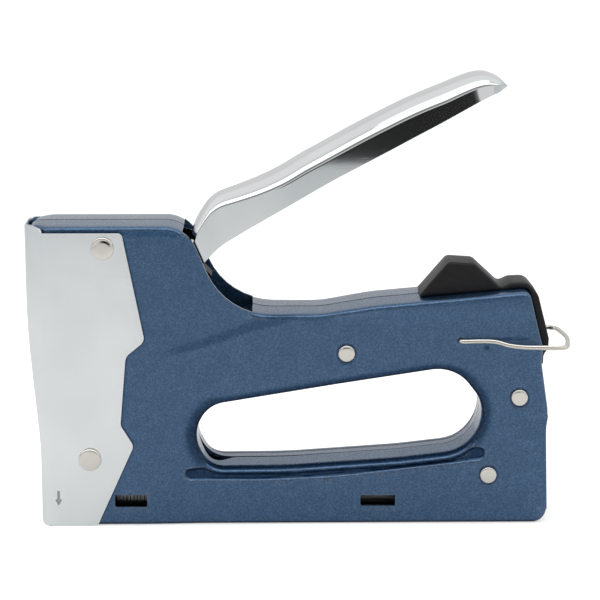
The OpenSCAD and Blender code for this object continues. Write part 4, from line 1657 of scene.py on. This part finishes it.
# ---------------------------------------------------------------- lever
@dataclass
class Lever:
    """Squeeze lever: an arched channel that narrows to a neck, with two ears on the pivot.

    Attributes:
        neck: half the width at the neck.
        wide: half the width of the handle.
        tip: half the width at the very end.
        sheet: thickness of the metal.
        widens_at: x where the neck begins to widen.
        widens_in: length over which it does.
        ends_at: x where the end begins to round.
        ends_in: length of the rounded end.
        end_power: how square its curve is.
        crown_at: x of the crown radii.
        crown_radii: radius of the crown's edges at each of them.
        crown_deg: turn of the crown's edges before their tighter lower part.
        tighter: radius of that part as a share of the crown's.
        pivot: x, z and radius of the hole in the ears.
        stations: crown x and z and lower edge x and z along the handle.
    """

    neck: float = 9.9
    wide: float = 12.0
    tip: float = 0.9
    sheet: float = 1.5
    widens_at: float = 60.0
    widens_in: float = 27.0
    ends_at: float = 151.5
    ends_in: float = 13.85
    end_power: float = 2.6
    crown_at: Sequence[float] = (54, 57, 62, 75, 90, 150, 158, 165)
    crown_radii: Sequence[float] = (5, 6.6, 7.6, 8.6, 9.6, 9.6, 6.5, 1.2)
    crown_deg: float = 54
    tighter: float = 0.22
    pivot: tuple[float, float, float] = (23.8, 102.0, 2.1)
    stations: Sequence[tuple[float, float, float, float]] = (
        (54.0, 103.6, 58.6, 94.4), (56.3, 109.1, 60.4, 96.4), (58.6, 112.9, 62.2, 98.3),
        (61.2, 116.2, 64.0, 100.0), (64.5, 118.4, 66.3, 101.8), (68.0, 119.7, 69.5, 103.7),
        (71.6, 121.0, 73.2, 105.9), (78.7, 123.8, 80.8, 110.3), (85.8, 127.3, 89.2, 115.2),
        (92.8, 131.6, 97.0, 119.8),
        (99.9, 135.5, 104.5, 124.1), (106.9, 139.4, 111.8, 128.0), (113.9, 143.2, 119.0, 131.8),
        (120.9, 146.8, 126.0, 135.5), (127.9, 150.3, 133.0, 139.3), (134.8, 153.4, 139.6, 142.8),
        (141.8, 156.2, 146.3, 146.5), (148.8, 159.0, 152.3, 149.9), (153.5, 160.4, 155.9, 151.9),
        (157.5, 160.6, 158.6, 153.2), (160.4, 159.7, 160.6, 153.9), (162.8, 158.4, 162.2, 154.4),
        (164.4, 157.0, 163.5, 155.1), (165.2, 156.2, 164.7, 155.5))

    def half_width(self, x: float) -> float:
        """Half the lever's width.

        Args:
            x: x of the crown.

        Returns:
            The distance from the seam to the side.
        """
        if x > self.ends_at:
            end = math.sqrt(max(0.0, 1 - ((x - self.ends_at) / self.ends_in) ** self.end_power))
            return self.tip + (self.wide - self.tip) * end
        return self.neck + (self.wide - self.neck) * float(smooth_step((x - self.widens_at) / self.widens_in))

    def section(self, x: float, z: float, bx: float, bz: float) -> np.ndarray:
        """Arch across the lever.

        Args:
            x: crown x.
            z: crown z.
            bx: lower edge x.
            bz: lower edge z.

        Returns:
            Rows of x, y, z from the left lower edge over the crown to the right one.
        """
        down = np.array([bx - x, bz - z])
        tall = float(np.linalg.norm(down))
        down = down / tall
        tall -= 0.45 * float(smooth_step((x - self.widens_at) / 20))
        w = self.half_width(x)
        r = min(float(np.interp(x, self.crown_at, self.crown_radii)), w * 0.97, tall * 0.93)
        turn = math.radians(self.crown_deg)
        small = self.tighter * r
        flat = w - (r - small) * math.sin(turn) - small
        half = [(flat * t, 0.0) for t in (0.0, 0.35, 0.7)]
        for a in np.linspace(0, turn, 9):
            half.append((flat + r * math.sin(a), r * (1 - math.cos(a))))
        y0, u0 = flat + (r - small) * math.sin(turn), r - (r - small) * math.cos(turn)
        for a in np.linspace(turn, math.pi / 2, 6)[1:]:
            half.append((y0 + small * math.sin(a), u0 - small * math.cos(a)))
        end = half[-1][1]
        for t in (0.03, 0.1, 0.4, 0.7, 1.0):
            half.append((w, end + (tall - end) * t))
        arch = [(-y, u) for y, u in half[::-1]] + half[1:]
        return np.array([(x + down[0] * u, y, z + down[1] * u) for y, u in arch])

    def smooth_stations(self) -> np.ndarray:
        """Puts more stations on smooth lines through the given ones.

        Returns:
            Rows of crown x and z and lower edge x and z.
        """
        s = np.array(self.stations)
        rows = [i + t for i, gap in enumerate(np.hypot(*np.diff(s[:, :2], axis=0).T))
                for t in np.arange(max(1, round(gap / 1.8))) / max(1, round(gap / 1.8))]
        edges = []
        for given in (s[:, :2], s[:, 2:]):
            line = curve_through(given, 0.25)
            at = [int(np.argmin(np.hypot(*(line - p).T))) for p in given]
            along = np.interp(rows, np.arange(len(s)), at)
            edges += [np.interp(along, np.arange(len(line)), line[:, k]) for k in (0, 1)]
        return np.vstack([np.stack(edges, axis=1), s[-1:]])

    def ear(self, side: Side) -> MeshDraft:
        """Flat ear on one side, with its pivot hole.

        Args:
            side: side of the seam.

        Returns:
            The ear's draft.
        """
        wall = self.section(*self.smooth_stations()[0])[:6, [0, 2]]
        corners = [(21, 99.4, 1.5), (49.2, 87.6, 3.5), (52.4, 87.2, 3), (*wall[0], 0.001), (*wall[5], 0.001),
                   (54.2, 103.4, 0.8), (43, 106.5, 6), (21, 106.5, 2)]
        ring = Outline(corners, 2.0, 6).points()[0]
        up = unit_rows(wall[5] - wall[0])
        away = ring - wall[0]
        off, along = np.abs(away[:, 0] * up[1] - away[:, 1] * up[0]), away @ up
        shared = (off < 0.05) & (along > -0.02) & (along < math.dist(wall[0], wall[5]) + 0.02)
        first = int(np.argmax(shared))
        ring = np.vstack([ring[:first], wall, ring[first:][~shared[first:]]])
        pts, tris = filled([ring, circle(*self.pivot, 28)], nowhere, 3.0, 3.0)
        draft = MeshDraft()
        draft.face_side(pts, self.neck, side, tris)
        return draft

    def build(self, finisher: Finisher) -> None:
        """Builds the lever.

        Args:
            finisher: gives it its finish.
        """
        draft = MeshDraft()
        rows = [self.section(*s) for s in self.smooth_stations()]
        draft.grid(rows, flip=True)
        draft.add(rows[-1], [range(len(rows[-1]))[::-1]])
        for side in Side:
            draft.join(self.ear(side))
        obj = draft.build("squeeze_lever", crease_deg=45, merge=0.06)
        thickened(obj, self.sheet, edge=0.18)
        finisher.dress(obj, "lever", Stuff.LEVER_CHROME, replaces=["lever"])


# ---------------------------------------------------------------- rear bumper and bail
@dataclass
class RearBumper:
    """Moulded rest for the lever on the top rear corner of the body.

    Attributes:
        half: distance from the seam to the side face.
        edge: radius of the rounded edges.
        thin_edge: share of that radius behind and under the hook.
        ridge: height of the faint ridges on the sides.
        ridge_middle: x and z of the middle of their arcs.
        ridge_pitch: distance from one to the next.
    """

    half: float = 7.5
    edge: float = 1.3
    thin_edge: float = 0.62
    ridge: float = 0.10
    ridge_middle: tuple[float, float] = (139.0, 70.0)
    ridge_pitch: float = 3.4

    def outline(self) -> tuple[np.ndarray, np.ndarray]:
        """Side outline of the bumper.

        Returns:
            Its points and their outward unit normals.
        """
        return Outline([(157, 83.4, 60), (173.5, 85.0, 2.4), (178.8, 64.6, 6), (178.6, 57.3, 0.3),
                        (179.5, 57.3, 0.4), (179.6, 60.4, 1.4), (181.3, 63.2, 1.4), (181.4, 66.5, 1.5),
                        (177.3, 82.3, 5), (173.4, 87.1, 4.2), (167.4, 86.9, 4), (163.8, 85.2, 2),
                        (154.4, 93.9, 3), (145.2, 94.5, 2.5), (134.1, 81.55, 0.8)], 1.2, 8).points()

    @staticmethod
    def room(ring: np.ndarray, out: np.ndarray) -> np.ndarray:
        """Radius of the largest circle inside the outline that touches it at each point.

        Args:
            ring: points of the outline.
            out: their outward unit normals.

        Returns:
            One radius for each point.
        """
        to = ring[None] - ring[:, None]
        inward, far = -np.sum(to * out[:, None], axis=2), np.sum(to ** 2, axis=2)
        return np.where(inward > 0.02, far / np.maximum(2 * inward, 1e-6), 1e3).min(axis=1)

    def side_height(self, p: np.ndarray) -> np.ndarray:
        """Distance of the side face from the seam, with its faint ridges in arcs.

        Args:
            p: rows of x, z.

        Returns:
            One distance for each point.
        """
        r = np.hypot(*(p - self.ridge_middle).T)
        wave = np.clip(np.cos(2 * math.pi * r / self.ridge_pitch) * 1.6, -1, 1)
        return self.half + self.ridge * (wave - 1) / 2

    def build(self, finisher: Finisher) -> None:
        """Builds the bumper.

        Args:
            finisher: gives it its finish.
        """
        ring, out = self.outline()
        draft = MeshDraft()
        thin = np.where(in_box(ring, 164, math.inf, z1=86.5) | (ring[:, 0] > 176), self.thin_edge, 1.0)
        reach = np.minimum(self.edge * thin, 0.8 * self.room(ring, out))
        inner = ring - out * reach[:, None]
        for side in Side:
            pts, tris = filled([inner], lambda p: p[:, 0] < 165.0, 0.7, 1.4)
            draft.face_side(pts, self.side_height(pts), side, tris)
            rows = [on_side(inner, self.side_height(inner), side)]
            for phi in np.radians([18, 36, 54, 72, 90]):
                p = ring - out * (reach * (1 - math.sin(phi)))[:, None]
                rows.append(on_side(p, self.half - self.edge * (1 - math.cos(phi)), side))
            rows.append(on_side(ring, 0.0, side))
            draft.grid(rows, around=True, flip=side is Side.LEFT)
        obj = draft.build("moulded_rear_bumper", crease_deg=40)
        finisher.dress(obj, "body", Stuff.BLACK_PLASTIC, replaces=["rear_bumper"])


@dataclass
class Bail:
    """Wire bail that holds the lever down for storage.

    Attributes:
        wire: radius of the wire.
        near_y: distance from the seam to each leg beside the body.
        far_y: the same where the legs spread behind it.
    """

    wire: float = 0.85
    near_y: float = 14.95
    far_y: float = 16.31

    def path(self) -> np.ndarray:
        """Middle line of the wire, from the left pin round the crossbar to the right pin.

        Returns:
            Rows of x, y, z.
        """
        n, f = self.near_y, self.far_y
        half = [(149.2, 12.2, 67.4), (149.2, 13.4, 67.4), (149.32, 14.35, 67.4), (149.75, 14.8, 67.41),
                (150.5, n, 67.43), (152.5, n, 67.48), (156, n, 67.56), (159.5, n, 67.5),
                (161.6, n + 0.08, 67.3), (163.4, n + 0.5, 66.95), (165.2, n + 1.2, 66.5),
                (167.2, f - 0.15, 66.1), (169.2, f, 65.85), (172, f, 65.62), (176, f, 65.5), (180, f, 65.4),
                (183.0, f - 0.02, 65.32), (184.9, f - 0.45, 65.27), (186.3, f - 1.5, 65.24),
                (187.05, f - 3.0, 65.22), (187.35, f - 5.0, 65.2), (187.8, 8.4, 65.2), (188.3, 4.8, 65.2),
                (188.55, 2.0, 65.2), (188.63, 0, 65.2)]
        left = [(x, -y, z) for x, y, z in half]
        return curve_through(left + [(x, y, z) for x, y, z in half[-2::-1]], 0.55)

    def build(self, finisher: Finisher) -> None:
        """Builds the bail.

        Args:
            finisher: gives it its finish.
        """
        draft = MeshDraft()
        draft.tube(self.path(), self.wire, 18)
        obj = draft.build("wire_bail", crease_deg=50)
        finisher.dress(obj, "bail", Stuff.BAIL_WIRE, replaces=["bail"])


# ---------------------------------------------------------------- springs and staples
def coil(centre: Sequence[float], axis: int, radius: float, start: float, stop: float, turns: float,
         steps: int = 20) -> np.ndarray:
    """Middle line of a coil spring with closed ends.

    Args:
        centre: a point on its axis.
        axis: 0, 1 or 2, the axis along which it runs.
        radius: radius of the middle line.
        start: first end along the axis.
        stop: last end along the axis.
        turns: number of turns.
        steps: points in each turn.

    Returns:
        Rows of x, y, z.
    """
    t = np.linspace(0, 1, int(turns * steps) + 1)
    end = 1.0 / turns
    rise = np.clip((t - end * 0.8) / (1 - 1.6 * end), 0, 1)
    pitch = (stop - start) * (0.06 * t + 0.94 * rise)
    u, v = [k for k in range(3) if k != axis]
    out = np.zeros((len(t), 3))
    out[:, axis] = start + pitch
    out[:, u] = centre[u] + radius * np.cos(2 * math.pi * turns * t)
    out[:, v] = centre[v] + radius * np.sin(2 * math.pi * turns * t)
    return out


@dataclass
class Mechanism:
    """Springs of the mechanism; the follower spring rides on the pusher.

    Attributes:
        drive_x: x of the main spring's upright axis.
        drive_radius: radius of its middle line.
        drive_ends: z of its lower and upper end.
        drive_turns: its turns.
        drive_wire: radius of its wire.
        push_z: z of the follower spring's axis, which runs rearwards.
        push_radius: radius of its middle line.
        push_ends: x of its front and rear end.
        push_turns: its turns.
        push_wire: radius of its wire.
    """

    drive_x: float = 10.5
    drive_radius: float = 6.5
    drive_ends: tuple[float, float] = (67.7, 99.0)
    drive_turns: float = 7.0
    drive_wire: float = 1.05
    push_z: float = 7.2
    push_radius: float = 1.82
    push_ends: tuple[float, float] = (90.3, 168.1)
    push_turns: float = 22.0
    push_wire: float = 0.32

    def build(self, finisher: Finisher) -> None:
        """Builds the main spring and the follower spring.

        Args:
            finisher: gives each its finish.
        """
        draft = MeshDraft()
        line = coil((self.drive_x, 0, 0), 2, self.drive_radius, *self.drive_ends, self.drive_turns)
        draft.tube(line, self.drive_wire, 10)
        drive = draft.build("drive_spring_coil", crease_deg=60)
        finisher.dress(drive, "body", Stuff.SPRING_STEEL, replaces=["main_spring"])
        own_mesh(drive)
        draft = MeshDraft()
        line = coil((0, 0, self.push_z), 0, self.push_radius, *self.push_ends, self.push_turns, 14)
        draft.tube(line, self.push_wire, 8)
        push = draft.build("feed_spring_coil", crease_deg=60)
        finisher.dress(push, "pusher", Stuff.SPRING_STEEL, replaces=["follower_spring"])
        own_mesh(push)


@dataclass
class StapleStrip:
    """Strip of glued wire staples on the rail.

    Attributes:
        start: x of the first staple.
        count: number of staples.
        pitch: distance from one to the next.
        wide: width of each wire along the rail.
        wire: thickness of the wire.
        half: half the outer width of a staple.
        low: z of the points.
        top: z of the crown.
        bend: outer radius of the bends.
        edge: width of the wire's rounded edges.
    """

    start: float = 3.9
    count: int = 59
    pitch: float = 1.254
    wide: float = 1.19
    wire: float = 0.95
    half: float = 5.3
    low: float = 2.4
    top: float = 12.4
    bend: float = 0.7
    edge: float = 0.12

    def build(self, finisher: Finisher) -> None:
        """Builds each staple as a bent flat wire.

        Args:
            finisher: gives them their finish.
        """
        draft = MeshDraft()
        inner, t, r, c = self.half - self.wire, self.wire, self.bend, self.edge
        arc = [(self.half - r + r * math.cos(a), self.top - r + r * math.sin(a))
               for a in np.radians([0, 30, 60, 90])]
        right = [(self.half - t / 2, self.low), (self.half, self.low + t / 2)] + arc
        outer = right + [(-y, z) for y, z in right[::-1]]
        core = [(-inner, self.low + t * 0.7), (-inner, self.top - t), (inner, self.top - t),
                (inner, self.low + t * 0.7)]
        shape = outer + core
        n = len(shape)
        for k in range(self.count):
            x0 = self.start + k * self.pitch
            rows = []
            for x, inset in ((0.0, c), (c, 0.0), (self.wide - c, 0.0), (self.wide, c)):
                inwards = [math.copysign(inset, y if j < n - 4 else -y) for j, (y, z) in enumerate(shape)]
                rows.append(np.array([(x0 + x, y - d, z - (inset if z > self.top - 0.5 else 0))
                                      for (y, z), d in zip(shape, inwards)]))
            draft.grid(rows, around=True)
            draft.cap(draft.count - 4 * n, n, True)
            draft.cap(draft.count - n, n, False)
        obj = draft.build("glued_staples", crease_deg=40, merge=0.001)
        finisher.dress(obj, "body", Stuff.STAPLE_WIRE, replaces=["staple_strip"])


CARRIED: dict[str, Stuff] = {
    "mechanism_frame": Stuff.BLACK_OXIDE, "driver_guide": Stuff.ZINC, "bumper_pad": Stuff.RUBBER,
    "spring_cap": Stuff.ZINC, "plunger": Stuff.HARD_STEEL, "driver_blade": Stuff.HARD_STEEL,
    "lifter": Stuff.BLACK_OXIDE, "lifter_pin": Stuff.BARE_STEEL, "pivot_bush": Stuff.BRONZE,
    "push_pin": Stuff.HARD_STEEL, "lever_spring": Stuff.SPRING_STEEL, "staple_channel": Stuff.BLACK_OXIDE,
    "staple_rail": Stuff.ZINC, "follower": Stuff.BRONZE, "pusher_rod": Stuff.BARE_STEEL,
    "pull_handle": Stuff.ZINC}


# ---------------------------------------------------------------- studio
@dataclass
class Studio:
    """White table and room, with a soft lamp above and the camera in front.

    Attributes:
        distance: from the camera to its target, in metres.
        azimuth_deg: side from which the camera looks, 0 from the front.
        elevation_deg: how far it looks down.
        target: the point that it faces.
        lens: focal length in millimetres.
        table_front: y of the table's front edge.
        table_shade_reach: distances from the tool over which a painted shade greys the table.
        table_colour_and_shade: its colour near the tool, and its painted shade far from it.
        table_glow: brightness that the camera adds to the table, as a backdrop lit from below.
        lamp_at: place of the lamp.
        lamp_target: the point that it faces.
        lamp_size: its width and depth.
        lamp_power: its power in watts.
        steps: the room's light by the angle over the tool, as start, stop, and light before and after.
        gap_middle_deg: direction of the dark gap in the front of the room.
        gap_sides_deg: angles beside it where the gap begins and is full.
        gap_top_deg: angles over the table where it begins and is full.
        gap_share: light that the gap takes away.
    """

    distance: float = 0.775
    azimuth_deg: float = -0.8
    elevation_deg: float = 12.4
    target: tuple[float, float, float] = (0.000171, 0.0, 0.079336)
    lens: float = 130.2
    table_front: float = -0.855
    table_shade_reach: tuple[float, float] = (0.25, 0.85)
    table_colour_and_shade: tuple[tuple[float, ...], tuple[float, ...]] = ((0.84, 0.84, 0.84), (0.60, 0.62, 0.63))
    table_glow: float = 0.45
    lamp_at: tuple[float, float, float] = (0.0, -0.15, 1.3)
    lamp_target: tuple[float, float, float] = (0.0, 0.0, 0.06)
    lamp_size: tuple[float, float] = (1.2, 0.5)
    lamp_power: float = 1.0
    steps: Sequence[tuple[float, float, float, float]] = (
        (8, 18, 0.75, 0.3), (48, 66, 0.3, 2.42), (74, 82, 2.42, 0.7),
        (86, 94, 0.7, 0.88), (126, 170, 0.88, 0.68))
    gap_middle_deg: float = 1.0
    gap_sides_deg: tuple[float, float] = (10.0, 4.2)
    gap_top_deg: tuple[float, float] = (2.5, -0.5)
    gap_share: float = 0.97

    def camera(self) -> None:
        """Places the camera."""
        cam = bpy.data.objects.new("camera", bpy.data.cameras.new("camera"))
        az, el = math.radians(self.azimuth_deg), math.radians(self.elevation_deg)
        back = Vector((math.sin(az) * math.cos(el), -math.cos(az) * math.cos(el), math.sin(el)))
        cam.location = Vector(self.target) + self.distance * back
        cam.rotation_euler = (-back).to_track_quat("-Z", "Y").to_euler()
        cam.data.lens = self.lens
        cam.data.sensor_width = 36.0
        cam.data.clip_start = 0.05
        bpy.context.collection.objects.link(cam)
        bpy.context.scene.camera = cam

    def table(self) -> None:
        """Lays the white table under the tool."""
        z = CAD_LOW.z - 0.00005
        x, y0, y1 = 6.0, self.table_front, 9.0
        mesh = bpy.data.meshes.new("white_table")
        mesh.from_pydata([(-x, y0, z), (x, y0, z), (x, y1, z), (-x, y1, z)], [], [(0, 1, 2, 3)])
        obj = bpy.data.objects.new("white_table", mesh)
        bpy.context.collection.objects.link(obj)
        material = bpy.data.materials.new("white_table")
        material.use_nodes = True
        w = Wiring(material.node_tree)
        # Painted shade: the table greys with distance from the tool, standing in for light that falls off.
        reach = w.ramp(w.vector("LENGTH", w.at()).outputs["Value"], *self.table_shade_reach)
        seen = w.node("ShaderNodeLightPath").outputs["Is Camera Ray"]
        w.fill(material.node_tree.nodes["Principled BSDF"], Base_Color=w.blend(reach, *self.table_colour_and_shade),
               Roughness=0.9, Specular_IOR_Level=0.1, Emission_Color=(1, 1, 1),
               Emission_Strength=w.math("MULTIPLY", seen, self.table_glow))
        mesh.materials.append(material)

    def room(self) -> None:
        """Lights the room by the angle over the tool: 0 at the front, 90 above and 180 behind."""
        world = bpy.data.worlds.new("white_room")
        bpy.context.scene.world = world
        world.use_nodes = True
        world.node_tree.nodes.clear()
        w = Wiring(world.node_tree)
        direction = w.node("ShaderNodeTexCoord").outputs["Generated"]
        parts = w.node("ShaderNodeSeparateXYZ", Vector=direction).outputs
        forward = w.math("MULTIPLY", parts["Y"], -1.0)
        angle = w.math("DEGREES", w.math("ARCTAN2", parts["Z"], forward))
        level: object = self.steps[0][2]
        for start, stop, before, after in self.steps:
            level = w.math("ADD", level, w.ramp(angle, start, stop, 0.0, after - before))
        sideways = w.math("DEGREES", w.math("ARCTAN2", parts["X"], forward))
        off = w.math("ABSOLUTE", w.math("SUBTRACT", sideways, self.gap_middle_deg))
        gap = w.math("MULTIPLY", w.ramp(off, *self.gap_sides_deg), w.ramp(angle, *self.gap_top_deg))
        level = w.math("MULTIPLY", level, w.math("SUBTRACT", 1.0, w.math("MULTIPLY", gap, self.gap_share)))
        seen = w.node("ShaderNodeLightPath").outputs["Is Camera Ray"]
        level = w.math("ADD", w.math("MULTIPLY", level, w.math("SUBTRACT", 1.0, seen)), seen)
        back = w.node("ShaderNodeBackground", Strength=level, Color=(1, 1, 1))
        w.node("ShaderNodeOutputWorld", Surface=back.outputs[0])

    def lamp(self) -> None:
        """Hangs the soft rectangular lamp above the tool."""
        light = bpy.data.lights.new("softbox_above", "AREA")
        light.shape = "RECTANGLE"
        light.size, light.size_y = self.lamp_size
        light.energy = self.lamp_power
        obj = bpy.data.objects.new("softbox_above", light)
        obj.location = self.lamp_at
        down = Vector(self.lamp_target) - Vector(self.lamp_at)
        obj.rotation_euler = down.to_track_quat("-Z", "Y").to_euler()
        bpy.context.collection.objects.link(obj)

    def build(self) -> None:
        """Sets up the camera, the table, the room and the lamp."""
        self.camera()
        self.table()
        self.room()
        self.lamp()
        bpy.context.scene.view_settings.view_transform = "Standard"
        LOG.info("studio is set")


@dataclass
class StapleGun:
    """The whole tool."""

    finisher: Finisher = field(default_factory=Finisher)

    def build(self) -> None:
        """Builds every piece, and finishes the carried CAD nodes."""
        for assembly in (*map(Shell, Side), NosePlate(), Rivets(), Lever(), RearBumper(), Bail(), Mechanism(),
                         StapleStrip()):
            assembly.build(self.finisher)
        for node, stuff in CARRIED.items():
            self.finisher.carry(node, stuff)


def main() -> None:
    """Builds the tool and the studio."""
    logging.basicConfig(level=logging.INFO, format="%(name)s: %(message)s")
    StapleGun().build()
    Studio().build()


if __name__ == "__main__":
    main()
